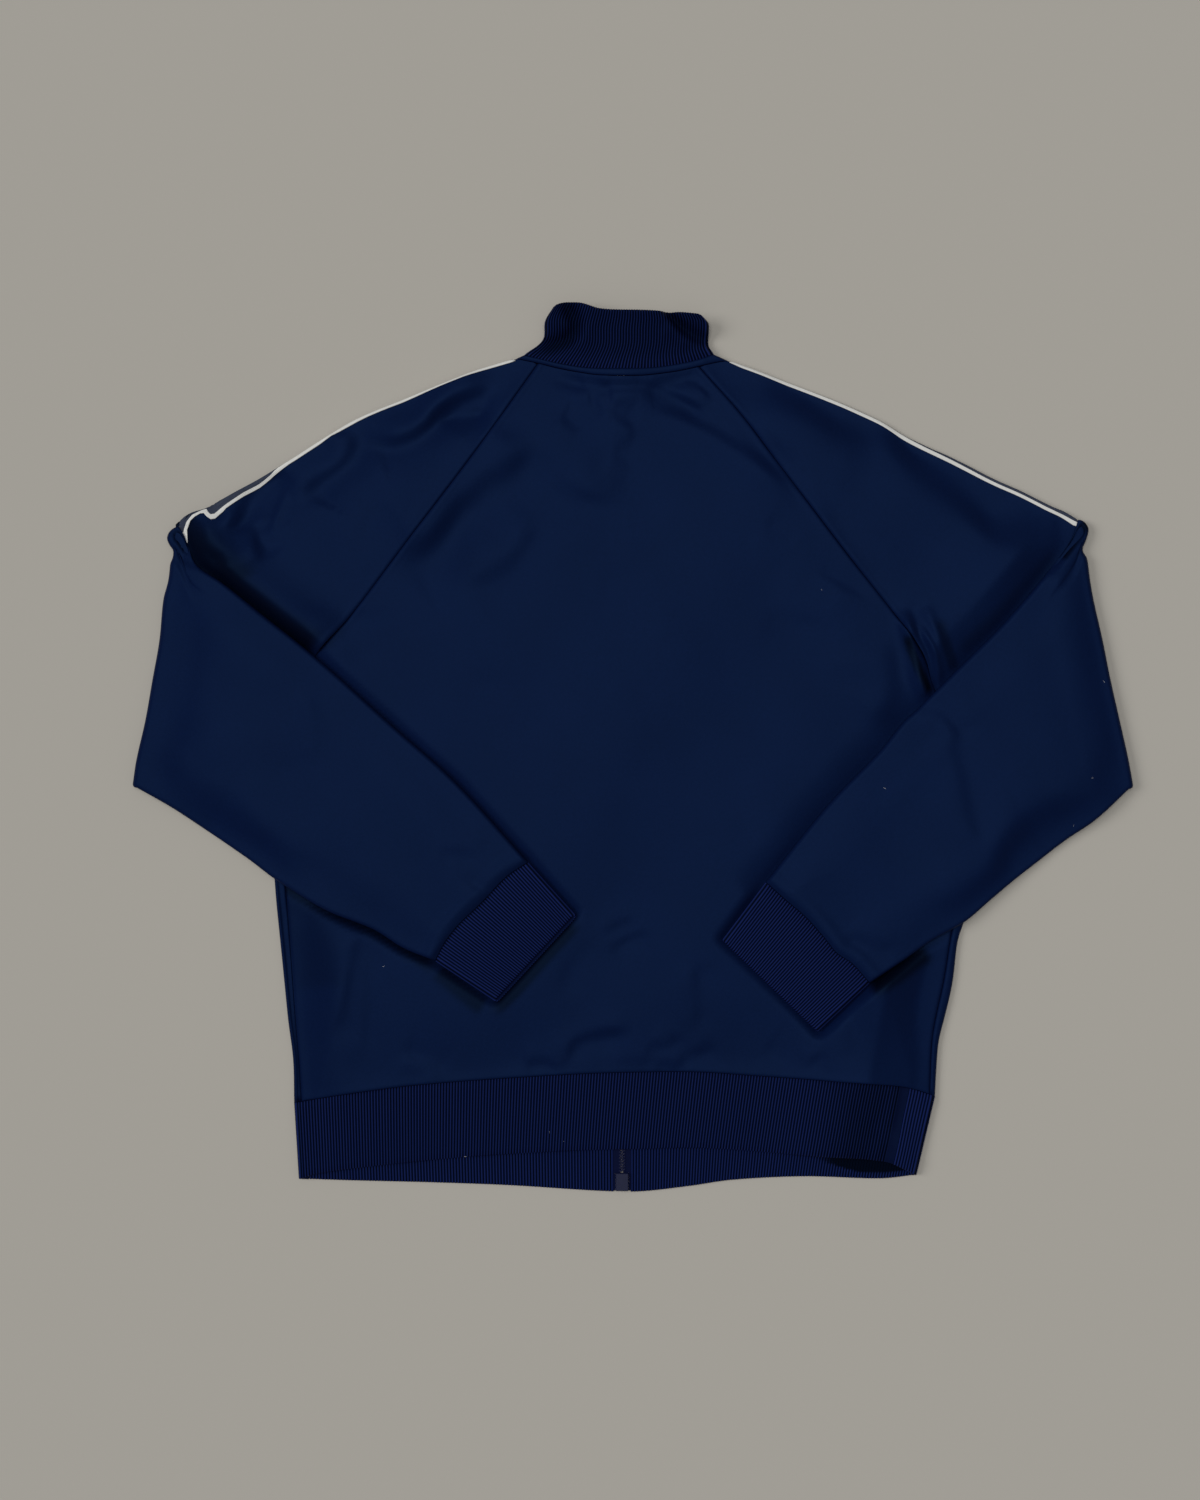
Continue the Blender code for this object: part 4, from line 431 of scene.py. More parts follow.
HEM_CREASES = (
    (((188, -236), (182, -262), (173, -282), (169, -300), (169, -316), (176, -345)), 17, 7.5, 1.0),
    (((210, -250), (208, -280), (203, -300), (197, -318), (190, -345)), 5, -2.6, 0.0),
    (((206, -300), (214, -318), (216, -345)), 12, -3.6, 0.0),
    (((-252, -250), (-246, -300), (-242, -350)), 15, 2.6, -0.5),
    (((-104, -284), (-82, -288), (-60, -292)), 13, 1.5, 0.5),
    (((20, -276), (60, -280), (104, -300)), 14, 1.6, 0.5),
)
FRONT_CREASES = (
    (((-210, 60), (-150, -20), (-120, -120)), 16, 1.2, 0.0),
    (((-60, 120), (-48, 20), (-66, -90)), 14, 0.9, 0.0),
    (((190, 40), (140, -40), (120, -150)), 16, 1.1, 0.0),
    (((60, 160), (48, 60), (70, -40)), 14, 0.9, 0.0),
    (((-230, -220), (-170, -240), (-120, -262)), 12, 0.8, 0.0),
    (((210, -230), (160, -246), (120, -262)), 12, 0.8, 0.0),
)

# The tape's back edge at each step down the upper arm, from the shoulder edge: minus is on the back
TAPE_EDGE = {
    "left": (
        (0.0, -2.6), (0.55, -2.8), (0.66, -3.6), (0.70, -4.4), (0.745, -7.0), (0.79, -7.4), (0.835, -9.5),
        (0.875, -12.0), (0.905, -5.2), (0.93, -6.8), (0.96, -8.6), (1.0, -8.6),
    ),
    "right": ((0.0, -2.6), (0.48, -3.2), (0.65, -4.6), (0.85, -6.2), (0.92, -7.0), (1.0, -8.0)),
}

# Lint on the cloth: place, length, direction in degrees
LINT = (
    (-198, -174, 1.6, 20), (-66, -306, 1.2, 110), (-54, -314, 1.1, 15), (-133, -326, 2.0, 8),
    (376, 53, 1.8, 120), (366, -24, 1.4, 30), (201, -32, 2.4, 150), (341, -75, 1.5, 145),
    (352, -62, 1.1, 70), (151, 126, 1.1, 50),
)


# Shape helpers


def smooth(t):
    t = np.clip(t, 0.0, 1.0)
    return t * t * (3.0 - 2.0 * t)


def mix(a, b, t):
    return a + (b - a) * t


class Line:
    """A smooth line in plan through a table of points, read by a fraction of its length."""

    def __init__(self, table):
        self.points = np.asarray(table, float)
        steps = np.hypot(*np.diff(self.points, axis=0).T)
        self.length = steps.sum()
        self.reach = np.append(0.0, np.cumsum(steps)) / self.length
        beside = np.clip(np.arange(len(self.points))[:, None] + (-1, 1), 0, len(self.points) - 1)
        rise = self.points[beside[:, 1]] - self.points[beside[:, 0]]
        self.slopes = rise / (self.reach[beside[:, 1]] - self.reach[beside[:, 0]])[:, None]

    def __call__(self, t):
        t = np.clip(np.asarray(t, float), 0.0, 1.0)
        i = np.clip(np.searchsorted(self.reach, t, "right") - 1, 0, len(self.points) - 2)
        span = (self.reach[i + 1] - self.reach[i])[..., None]
        part = (t - self.reach[i])[..., None] / span
        square, cube = part ** 2, part ** 3
        return (
            self.points[i] * (2.0 * cube - 3.0 * square + 1.0)
            + self.points[i + 1] * (3.0 * square - 2.0 * cube)
            + self.slopes[i] * span * (cube - 2.0 * square + part)
            + self.slopes[i + 1] * span * (cube - square)
        )

    def fine(self, count=60):
        return self(np.linspace(0.0, 1.0, count))

    def nearest(self, place):
        steps = np.linspace(0.0, 1.0, 1201)
        return steps[np.argmin(np.hypot(*(self(steps) - place).T))]

    def at_x(self, x):
        steps = np.linspace(0.0, 1.0, 2401)
        return steps[np.argmin(np.abs(self(steps)[:, 0] - x))]


def chain(*parts):
    """One line through the points of several."""
    points = np.vstack(parts)
    keep = np.append(True, np.hypot(*np.diff(points, axis=0).T) > 0.4)
    return Line(points[keep])


def moved(points, distance):
    """A line's points moved to the left of its own direction."""
    ahead = np.gradient(points, axis=0)
    ahead /= np.hypot(*ahead.T)[:, None]
    return points + distance * np.stack((-ahead[:, 1], ahead[:, 0]), axis=-1)


def measure(points, x, y):
    """The distance from places to a polyline, how far along it they are, and on which side."""
    points = np.asarray(points, float)
    steps = np.hypot(*np.diff(points, axis=0).T)
    start = np.append(0.0, np.cumsum(steps)) / steps.sum()
    best = np.full(np.shape(x), np.inf)
    along = np.zeros(np.shape(x))
    side = np.ones(np.shape(x))
    for k, ((x0, y0), (x1, y1)) in enumerate(zip(points[:-1], points[1:])):
        dx, dy = x1 - x0, y1 - y0
        part = np.clip(((x - x0) * dx + (y - y0) * dy) / (dx * dx + dy * dy), 0.0, 1.0)
        away = np.hypot(x - x0 - part * dx, y - y0 - part * dy)
        nearer = away < best
        best = np.where(nearer, away, best)
        along = np.where(nearer, mix(start[k], start[k + 1], part), along)
        side = np.where(nearer, np.sign(dx * (y - y0) - dy * (x - x0)), side)
    return best, along, side


def away_from(lines, x, y):
    return np.min([measure(line, x, y)[0] for line in lines], axis=0)


def inside(outline, x, y):
    found = np.zeros(np.shape(x), bool)
    for (x0, y0), (x1, y1) in zip(outline, np.roll(outline, -1, axis=0)):
        if y0 != y1:
            crosses = ((y0 > y) != (y1 > y)) & (x < x0 + (y - y0) / (y1 - y0) * (x1 - x0))
            found ^= crosses
    return found


def creases(rows, x, y):
    """The height that creases add, faded at their ends."""
    total = np.zeros(np.shape(x))
    for number, (line, width, depth, lean) in enumerate(rows):
        points = Line(line).fine(max(3 * len(line), 8))
        reach = CREASE_REACH * width
        (low_x, low_y), (high_x, high_y) = points.min(axis=0) - reach, points.max(axis=0) + reach
        near = (x > low_x) & (x < high_x) & (y > low_y) & (y < high_y)
        if not near.any():
            continue
        away, along, side = measure(points, x[near], y[near])
        fade = smooth(along / CREASE_FADES[0]) * smooth((1.0 - along) / CREASE_FADES[1])
        fade = fade * (0.84 + 0.16 * np.cos(9.0 * along + number))
        across = away * side * (np.sign(lean) or 1.0)
        across = across / (width * (0.85 + 0.3 * np.sin(5.0 * along + 1.7 * number) ** 2))
        trough = -np.exp(-across ** 2)
        shoulder = np.exp(-((across / CREASE_SHOULDER) ** 2))
        step = -0.5 * np.tanh(1.6 * across) * shoulder
        steep = (1.0 - np.clip(across / FOLD_STEEP_SIDE, 0.0, 1.0)) ** 1.1
        fold = np.where(across < 0.0, shoulder, steep)
        profile = fold if abs(lean) >= 1.0 else mix(trough, step, min(2.0 * abs(lean), 1.0))
        total[near] += depth * fade * profile
    return total


def painted_hollow_shade(rows, x, y):
    """The share of painted shade that deep hollows get, with soft sides and ends."""
    total = np.zeros(np.shape(x))
    for line, width, share in rows:
        away, along, _ = measure(Line(line).fine(3 * len(line)), x, y)
        ends = smooth(along / 0.12) * smooth((1.0 - along) / 0.12)
        total = np.maximum(total, share * ends * np.exp(-((away / width) ** 4)))
    return total


def undulation(x, y, seed):
    """Slow unevenness in cloth that lies loose."""
    return (
        0.9 * np.sin(x / 41.0 + 1.7 * seed) * np.sin(y / 53.0 + 0.9 * seed)
        + 0.5 * np.sin(x / 23.0 - y / 47.0 + 2.3 * seed)
        + 0.2 * np.sin(x / 11.0 + y / 19.0 + 0.6 * seed)
    )


def graded(length, count, near):
    """Fractions along a length: fixed distances near both ends, even steps between."""
    near = np.asarray(near, float)
    low = near / np.asarray(length, float)[..., None]
    middle = mix(low[..., -1:], 1.0 - low[..., -1:], np.linspace(0.0, 1.0, count))
    return np.concatenate((low[..., :-1], middle, 1.0 - low[..., -2::-1]), axis=-1)


def patch(first, last, start, end, s, w):
    """Places between four lines: first and last follow w, start and end follow s."""
    s, w = np.broadcast_arrays(s, w)
    across = mix(first(w), last(w), s[..., None])
    along = mix(start(s), end(s), w[..., None])
    ends = [line(np.array(k)) for line in (first, last) for k in (0.0, 1.0)]
    corners = mix(mix(ends[0], ends[1], w[..., None]), mix(ends[2], ends[3], w[..., None]), s[..., None])
    return across + along - corners


def with_height(plan, z):
    return np.concatenate((plan, np.broadcast_to(z, plan.shape[:-1])[..., None]), axis=-1)


def surface_normals(grid):
    normal = np.cross(np.gradient(grid, axis=0), np.gradient(grid, axis=1))
    return normal / np.maximum(np.linalg.norm(normal, axis=-1, keepdims=True), 1e-9)


# The layers that several pieces share


LOWER_EDGES = [Line(t[side]).fine(40) for t in (SHOULDER, UNDERARM, SIDE_EDGE) for side in SIDES]
LOWER_OUTLINE = np.vstack((
    SHOULDER["left"], FOLD["left"], UNDERARM["left"][::-1], SIDE_EDGE["left"][::-1],
    SIDE_EDGE["right"], UNDERARM["right"], FOLD["right"][::-1], SHOULDER["right"][::-1],
))
LOWER_ENDS = [Line(t).fine(60) for t in (BACK_HEM_SEAM, BAND_LOW)]
FOLD_EDGES = [Line(FOLD[side]).fine(30) for side in SIDES]
FOREARM_OUTLINE = {
    side: np.vstack((FOREARM_TOP[side], CUFF_END[side], FOREARM_LOW[side][::-1])) for side in SIDES
}
BODY_SEAMS = [Line(t[side]).fine(160) for t in (RAGLAN, SIDE_SEAM) for side in SIDES]
BODY_SEAMS += [Line(BACK_HEM_SEAM).fine(200)]


def neck_bump(x, y):
    centre_x, centre_y, reach, height = NECK_BUMP
    return height * np.exp(-((x - centre_x) ** 2 + (y - centre_y) ** 2) / reach ** 2)


def beside_forearms(x, y):
    """How far a place lies from the nearest forearm, 0 under one, and the share of the forearm's press."""
    away, press = np.full(np.shape(x), np.inf), np.zeros(np.shape(x))
    for side, outline in FOREARM_OUTLINE.items():
        near = measure(outline, x, y)[0]
        above = measure(FOREARM_TOP[side], x, y)[0]
        reach = mix(*PRESS_REACH[side], smooth((SIGN[side] * x - ARMHOLE_X) / ARMHOLE_RUN))
        reach = mix(reach, PRESS_EDGE, smooth((above - near) / 14.0))
        near = np.where(inside(outline, x, y), 0.0, near)
        away = np.minimum(away, near)
        press = np.maximum(press, np.clip(1.0 - near / reach, 0.0, 1.0) ** 2)
    return away, press


def plain_top(x, y):
    """Top of the lower layer, without its creases. The forearms press it down."""
    high = mix(EDGE_LOFT, LOFT, smooth(away_from(LOWER_EDGES, x, y) / EDGE_TAPER))
    high = np.minimum(high, mix(SEAM_LOFT, LOFT, smooth(away_from(LOWER_ENDS, x, y) / SEAM_TAPER)))
    high = np.minimum(high, mix(FOLD_LOFT, LOFT, smooth(away_from(FOLD_EDGES, x, y) / FOLD_TAPER)))
    high = high - np.minimum(PRESS * beside_forearms(x, y)[1], np.maximum(high - PRESS_FLOOR, 0.0))
    return high + neck_bump(x, y)


def top(x, y, extra=()):
    """Top of the lower layer, with its creases and with its seams drawn in."""
    sizes = settings().sizes
    away = away_from(BODY_SEAMS, x, y)
    loose = smooth(away_from(LOWER_EDGES, x, y) / 30.0) * smooth(away / 16.0)
    swell, swell_place, swell_width = SEAM_SWELL
    seams = sizes.seam_depth / MM * np.exp(-((away / SEAM_GROOVE) ** 2))
    seams = seams - swell * np.exp(-(((away - swell_place) / swell_width) ** 2))
    relief = creases(BACK_CREASES + tuple(extra), x, y)
    relief = (relief + loose * undulation(x, y, 1.0)) * sizes.crease_strength
    relief = np.where(relief > 0.0, relief * smooth(0.1 + beside_forearms(x, y)[0] / 9.0), relief)
    return np.maximum(plain_top(x, y) + relief - seams, LEAST_LOFT)


def resting(x, y):
    """Underside of a forearm: over the lower layer, and down to the ground past its edge."""
    sag = smooth((away_from(LOWER_EDGES, x, y) - SAG_START) / SAG_RUN)
    outside = mix(PRESS_FLOOR + LAYER_GAP, SAG_HEIGHT, sag)
    return np.where(inside(LOWER_OUTLINE, x, y), plain_top(x, y) + LAYER_GAP, outside)


def zip_lift(x, y):
    """How far the front of the neck is lifted off the ground near the zip."""
    along = smooth((y - ZIP_LIFT_START) / 30.0)
    away = np.maximum(np.abs(x - ZIP_X) - 0.5 * ZIP_RECESS, 0.0) / 20.0
    return ZIP_LIFT * along * np.exp(-away * away)


# Meshes


def settings():
    return bpy.context.scene.jacket


def make_object(name, points, faces, material, attributes=None):
    """A mesh object in the part's frame, from points in the tables' millimetres."""
    mesh = bpy.data.meshes.new(name)
    flat = (np.asarray(points, float).reshape(-1, 3) - ORIGIN) * MM
    mesh.from_pydata(flat.tolist(), [], faces if isinstance(faces, list) else faces.tolist())
    for label, values in (attributes or {}).items():
        layer = mesh.attributes.new(label, "FLOAT", "POINT")
        layer.data.foreach_set("value", np.asarray(values, np.float32).ravel())
    mesh.materials.append(material)
    mesh.polygons.foreach_set("use_smooth", [True] * len(mesh.polygons))
    mesh.update()
    made = bpy.data.objects.new(name, mesh)
    bpy.context.scene.collection.objects.link(made)
    return made


def grid_faces(rows, columns, closed=False, flip=False):
    index = np.arange(rows * columns).reshape(rows, columns)
    if closed:
        index = np.concatenate((index, index[:, :1]), axis=1)
    quads = np.stack((index[:-1, :-1], index[:-1, 1:], index[1:, 1:], index[1:, :-1]), axis=-1)
    quads = quads.reshape(-1, 4)
    return quads[:, ::-1] if flip else quads


def tube_faces(rows, columns, flip=False, base=0):
    """Faces of a tube and of its two ends, for points that start at base."""
    faces = grid_faces(rows, columns, closed=True, flip=flip).tolist()
    turn = -1 if flip else 1
    faces.append(list(range(columns))[::-turn])
    faces.append(list(range((rows - 1) * columns, rows * columns))[::turn])
    return [[base + k for k in face] for face in faces]


def thicken(made, thickness):
    """Give cloth its thickness, inwards from its outer side."""
    wall = made.modifiers.new("Thickness", "SOLIDIFY")
    wall.thickness = thickness
    wall.offset = -1.0


def cloth(name, grid, material, thickness, closed=False, flip=False, attributes=None):
    """Cloth from a grid of points on its outer side."""
    made = make_object(name, grid, grid_faces(*grid.shape[:2], closed, flip), material, attributes)
    thicken(made, thickness)
    return made


def fold_over(outer, inner, turns=3):
    """Rib cloth folded double: from the seam down its outside, round its free edge, and back up."""
    ahead = outer[:, -1] - outer[:, -2]
    ahead /= np.linalg.norm(ahead, axis=-1, keepdims=True)
    middle = 0.5 * (outer[:, -1] + inner[:, -1])
    arm = outer[:, -1] - middle
    reach = np.linalg.norm(arm, axis=-1, keepdims=True) * 0.8
    turn = []
    for angle in np.linspace(0.0, math.pi, turns + 2)[1:-1]:
        turn.append(middle + arm * math.cos(angle) + ahead * reach * math.sin(angle))
    return np.concatenate((outer, np.stack(turn, axis=1), inner[:, ::-1]), axis=1)


def dress(made, node):
    """Put a cloth piece on its body, in its solid's place."""
    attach(made, "garment")
    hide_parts(node)


# Materials


def linear(code):
    """An sRGB hex colour as linear red, green and blue."""
    values = [int(code[k:k + 2], 16) / 255.0 for k in (1, 3, 5)]
    return tuple(v / 12.92 if v <= 0.04045 else ((v + 0.055) / 1.055) ** 2.4 for v in values)


def add_node(tree, kind, inputs=None, **options):
    """Add a node with its settings, and set or link its inputs."""
    made = tree.nodes.new("ShaderNode" + kind)
    for name, value in options.items():
        setattr(made, name, value)
    for name, value in (inputs or {}).items():
        if isinstance(value, bpy.types.NodeSocket):
            tree.links.new(value, made.inputs[name])
        else:
            made.inputs[name].default_value = value
    return made


def blank_material(name, roughness, **shader_inputs):
    """A material with a Principled shader, whose uniform numbers are set on its own sockets. The node tree
    and the shader are None if the material is there already."""
    made_before = bpy.data.materials.get(name)
    if made_before:
        return made_before, None, None
    material = bpy.data.materials.new(name)
    material.use_nodes = True
    tree = material.node_tree
    shader = tree.nodes["Principled BSDF"]
    shader.inputs["Roughness"].default_value = roughness
    for label, value in shader_inputs.items():
        shader.inputs[label.replace("_", " ")].default_value = value
    return material, tree, shader


def rgba(colour, gain=1.0):
    return (*(gain * value for value in colour), 1.0)


def blend(tree, share, low, high, mode="MIX"):
    """Two colours mixed by a share. Returns the colour."""
    options = {"data_type": "RGBA", "blend_type": mode}
    return add_node(tree, "Mix", {0: share, 6: low, 7: high}, **options).outputs[2]


def work_out(tree, operation, *values):
    return add_node(tree, "Math", dict(enumerate(values)), operation=operation).outputs[0]


def noise(tree, place, size, detail):
    """Noise whose patches have a real size in millimetres."""
    inputs = {"Vector": place, "Scale": 1000.0 / size, "Detail": detail}
    return add_node(tree, "TexNoise", inputs).outputs["Fac"]


def mottled(tree, place, low, high, size, spread=0.5, detail=3.0):
    """Two tones in soft patches of a real size in millimetres. Returns the colour."""
    share = add_node(tree, "MapRange", {
        "Value": noise(tree, place, size, detail),
        "From Min": 0.5 - spread / 2.0, "From Max": 0.5 + spread / 2.0,
    })
    return blend(tree, share.outputs["Result"], rgba(low), rgba(high))


def finish(tree, shader, colour, height, strength, depth):
    """Give a shader its colour and its fine relief, whose depth is in metres."""
    tree.links.new(colour, shader.inputs["Base Color"])
    bump = add_node(tree, "Bump", {"Height": height, "Strength": strength, "Distance": depth})
    tree.links.new(bump.outputs["Normal"], shader.inputs["Normal"])


def double_knit():
    """Double-knit polyester, piece dyed navy and left unbrushed: dense and even, with the dull blue gloss
    of its filament yarn, so that the eye sees deep blue, darker wherever the cloth turns aside, and hardly
    any grain."""
    colours = settings().colours
    material, tree, shader = blank_material(
        "Double-knit polyester, dyed navy", 0.5, IOR=1.5, Specular_IOR_Level=colours.knit_gloss,
        Specular_Tint=rgba(colours.gloss),
    )
    if tree is None:
        return material
    navy = np.array(colours.navy)
    place = add_node(tree, "TexCoord").outputs["Object"]
    patches = mottled(tree, place, navy * 0.93, navy * 1.08, 70.0, 0.5)
    # The loops are 0.8 mm apart. They are drawn 2 mm apart, as coarse as they need to show.
    loops = mottled(tree, place, (0.90,) * 3, (1.10,) * 3, 2.0, 0.7, 1.0)
    colour = blend(tree, 1.0, patches, loops, "MULTIPLY")
    # Painted shade: where a fold closes on itself, the closed attribute darkens the colour towards near
    # black.
    closed = add_node(tree, "Attribute", attribute_name="closed").outputs["Fac"]
    colour = blend(tree, closed, colour, rgba(colours.rib_furrow_painted_shade, 0.3))
    finish(tree, shader, colour, noise(tree, place, 2.2, 2.0), 0.25, 0.0003)
    return material


def rib_knit():
    """Polyester rib knit with a little elastane: upright ribs that catch the light over furrows in shadow, so
    that the eye sees fine stripes of navy and near black. This light and shade is painted: the rib attribute
    mixes the crest colour on the ribs with the near-black furrow colour between them."""
    colours = settings().colours
    material, tree, shader = blank_material(
        "Polyester rib knit, dyed navy", 0.55, IOR=1.5, Specular_IOR_Level=0.5 * colours.knit_gloss,
        Specular_Tint=rgba(colours.gloss),
    )
    if tree is None:
        return material
    place = add_node(tree, "TexCoord").outputs["Object"]
    height = add_node(tree, "Attribute", attribute_name="rib").outputs["Fac"]
    share = add_node(tree, "MapRange", {"Value": height, "From Min": 0.28, "From Max": 1.0})
    painted_rib_stripes = blend(tree, share.outputs["Result"], rgba(colours.rib_furrow_painted_shade), rgba(colours.rib_crest_painted_light))
    # A rib's stitches are 1 mm apart, and drawn 1.8 mm apart.
    stitches = mottled(tree, place, (0.93,) * 3, (1.07,) * 3, 1.8, 0.7, 1.0)
    colour = blend(tree, 1.0, painted_rib_stripes, stitches, "MULTIPLY")
    finish(tree, shader, colour, noise(tree, place, 1.8, 2.0), 0.3, 0.0003)
    return material


def woven_tape():
    """Woven polyester tape in slate with a white stripe along each edge: smoother than the knit, with
    fine ridges along it, so that the eye sees crisp white lines and a dull grey-blue middle."""
    colours = settings().colours
    sizes = settings().sizes
    material, tree, shader = blank_material(
        "Woven polyester tape, slate and white", 0.6, IOR=1.5, Specular_IOR_Level=0.3,
    )
    if tree is None:
        return material
    slate, white = np.array(colours.slate), np.array(colours.white)
    across = add_node(tree, "Attribute", attribute_name="across").outputs["Fac"]
    from_middle = work_out(tree, "ABSOLUTE", work_out(tree, "SUBTRACT", across, 0.5))
    edge = work_out(tree, "GREATER_THAN", from_middle, 0.5 - sizes.tape_stripe / sizes.tape_width)
    place = add_node(tree, "TexCoord").outputs["Object"]
    middle = mottled(tree, place, slate * 0.85, slate * 1.15, 3.0, 0.6)
    stripe = mottled(tree, place, white * 0.9, white, 2.0, 0.6)
    # Warp threads 0.35 mm apart, drawn 1 mm apart
    threads = work_out(tree, "SINE", work_out(tree, "MULTIPLY", across, 2.0 * math.pi * TAPE_THREADS))
    finish(tree, shader, blend(tree, edge, middle, stripe), threads, 0.35, 0.0002)
    return material


def plain_finish(name, colour, roughness, metallic=0.0, grain=0.6, relief=0.1, specular=0.5):
    """A plain surface with a fine grain of its own, of a size in millimetres and a strength of relief."""
    material, tree, shader = blank_material(name, roughness, Metallic=metallic, Specular_IOR_Level=specular)
    if tree is None:
        return material
    colour = np.array(linear(colour) if isinstance(colour, str) else colour)
    place = add_node(tree, "TexCoord").outputs["Object"]
    tones = mottled(tree, place, colour * 0.88, colour * 1.1, 3.0 * grain, 0.6)
    finish(tree, shader, tones, noise(tree, place, grain, 2.0), relief, 0.0002)
    return material


def zip_tape_cloth():
    """Woven polyester, dyed with the jacket: flat, fine and matt."""
    return plain_finish(
        "Woven polyester zip tape, navy", "#0B1233", 0.8, grain=1.0, relief=0.4, specular=0.06
    )


def acetal():
    """Injection-moulded acetal teeth: smooth, a little waxy, with small soft highlights."""
    plastic = settings().colours.zip_plastic
    return plain_finish("Moulded acetal, dark navy", plastic, 0.5, grain=0.8, relief=0.08, specular=0.12)


def acetal_painted_paler():
    """The box: the same acetal, a little paler, painted lighter for the glints on its sides."""
    return plain_finish("Moulded acetal, painted paler", "#131A3C", 0.45, grain=0.8, relief=0.15, specular=0.2)


def zinc():
    """Die-cast zinc, barrel polished and lacquered grey: smooth with rounded, slightly dull highlights."""
    return plain_finish("Die-cast zinc, lacquered grey", settings().colours.zip_metal, 0.36, 1.0, 0.5, 0.06)


def lint_fibre():
    """Loose white cotton fibre: dull and bright against the navy."""
    return plain_finish("Loose cotton fibre, white", "#C9CBD2", 0.9, grain=0.5, relief=0.1, specular=0.1)


def floor_paint():
    """Smooth matt floor paint: plain and pale, with no gloss of its own."""
    colour = rgba(settings().studio.floor_colour)
    return blank_material("Matt floor paint, pale grey", 0.9, Specular_IOR_Level=0.1, Base_Color=colour)[0]


# The body


def side_line(side):
    """A back panel's side: the side seam, then the raglan seam. Read from 0 at the hem to 1 at the neck."""
    seam, raglan = Line(SIDE_SEAM[side]), Line(RAGLAN[side])

    def places(v):
        v = np.asarray(v, float)
        return np.where((v < 0.5)[..., None], seam(2.0 * v), raglan(2.0 * v - 1.0))

    return places


def build_back_panel():
    hem, neck = Line(BACK_HEM_SEAM), Line(BAND_LOW)
    left, right = side_line("left"), side_line("right")
    hem_ends = [hem.nearest(line(np.array(0.0))) for line in (left, right)]
    neck_ends = [neck.nearest(line(np.array(1.0))) for line in (left, right)]
    near = np.array(SEAM_ROWS) + HALF_GAP
    v = graded(PANEL_LENGTH, PANEL_ROWS, near)
    width = np.hypot(*(right(v) - left(v)).T)
    u = graded(width, PANEL_COLUMNS, near)
    v = np.broadcast_to(v[:, None], u.shape)
    plan = patch(
        lambda t: hem(mix(*hem_ends, t)), lambda t: neck(mix(*neck_ends, t)), left, right, v, u
    )
    grid = with_height(plan, top(plan[..., 0], plan[..., 1]))
    made = cloth(
        "back_panel_knit", grid, double_knit(), settings().sizes.knit_thickness,
        # The closed attribute carries painted shade in the deepest hollows.
        attributes={"closed": painted_hollow_shade(PAINTED_HOLLOWS, plan[..., 0], plan[..., 1])},
    )
    dress(made, "back_panel")


def build_front_panel(side):
    """A front panel: on the ground, and turned up round the side edge as far as the side seam."""
    sign = SIGN[side]
    centre_x = ZIP_X + sign * 0.5 * ZIP_RECESS
    hem = Line(FRONT_HEM_SEAM)
    hem_start = hem.at_x(centre_x)
    hem_end = 0.0 if sign < 0.0 else 1.0
    neck = Line(FRONT_BAND_LOW[side])
    raglan, edge, seam = Line(FRONT_RAGLAN[side]), Line(SIDE_EDGE[side]), Line(SIDE_SEAM[side])
    corner = neck.nearest(raglan.points[-1])
    # The share of the outer edge that is the side. The rest is the raglan.
    split = 0.45

    def outer(v):
        v = np.asarray(v, float)
        low = edge(v / split) - np.array((sign * EDGE_ROUND, 0.0))
        high = raglan((v - split) / (1.0 - split))
        join = np.exp(-np.abs(v - split) / 0.012)[..., None]
        return np.where((v < split)[..., None], mix(low, raglan(np.array(0.0)), join), high)

    low = lambda t: hem(mix(hem_start, hem_end, t))
    high = lambda t: neck(mix(1.0, corner, t))
    centre = lambda t: mix(low(np.array(0.0)), high(np.array(0.0)), np.asarray(t)[..., None])
    v = np.linspace(0.0, 1.0, FRONT_ROWS)
    u = np.linspace(0.0, 1.0, FRONT_COLUMNS)
    v_all, u_all = np.meshgrid(v, u, indexing="ij")
    plan = patch(low, high, centre, outer, v_all, u_all)
    plan[..., 1] += HALF_GAP * (1.0 - 2.0 * v_all)
    plan[..., 0] -= sign * HALF_GAP * u_all
    rise = np.maximum(-creases(FRONT_CREASES, plan[..., 0], plan[..., 1]), 0.0)
    away = away_from([outer(v), low(u), high(u), centre(v)], plan[..., 0], plan[..., 1])
    flat = with_height(plan, rise * smooth(away / 25.0))
    t = v / split
    turned = []
    for angle in np.radians(np.linspace(170.0, 10.0, 9)):
        inset = EDGE_ROUND * (1.0 - math.sin(angle))
        share = 0.5 + 0.5 * math.cos(angle)
        goal = seam(t) if share > 0.5 else outer(v)
        run = goal - edge(t)
        run /= np.maximum(np.hypot(*run.T), 1e-6)[:, None]
        place = edge(t) + run * inset
        turned.append(with_height(place, share * plain_top(place[:, 0], place[:, 1])))
    run = seam(t) - edge(t)
    far = np.hypot(*run.T)[:, None]
    run = run / np.maximum(far, 1e-6)
    for step in (0.0, 0.35, 0.6, 0.8, 1.0):
        place = edge(t) + run * mix(EDGE_ROUND, far - HALF_GAP, step)
        turned.append(with_height(place, top(place[:, 0], place[:, 1])))
    grid = np.concatenate((flat, np.stack(turned, axis=1)), axis=1)
    rows, columns = grid.shape[:2]
    faces = grid_faces(rows, columns, flip=sign > 0.0).reshape(rows - 1, columns - 1, 4)
    keep = np.ones((rows - 1, columns - 1), bool)
    keep[v[1:] > split, u.size - 1:] = False
    used, faces = np.unique(faces[keep], return_inverse=True)
    points = grid.reshape(-1, 3)[used]
    made = make_object("front_" + side + "_knit", points, faces.reshape(-1, 4), double_knit())
    thicken(made, settings().sizes.knit_thickness)
    dress(made, "front_" + side)


# The sleeves


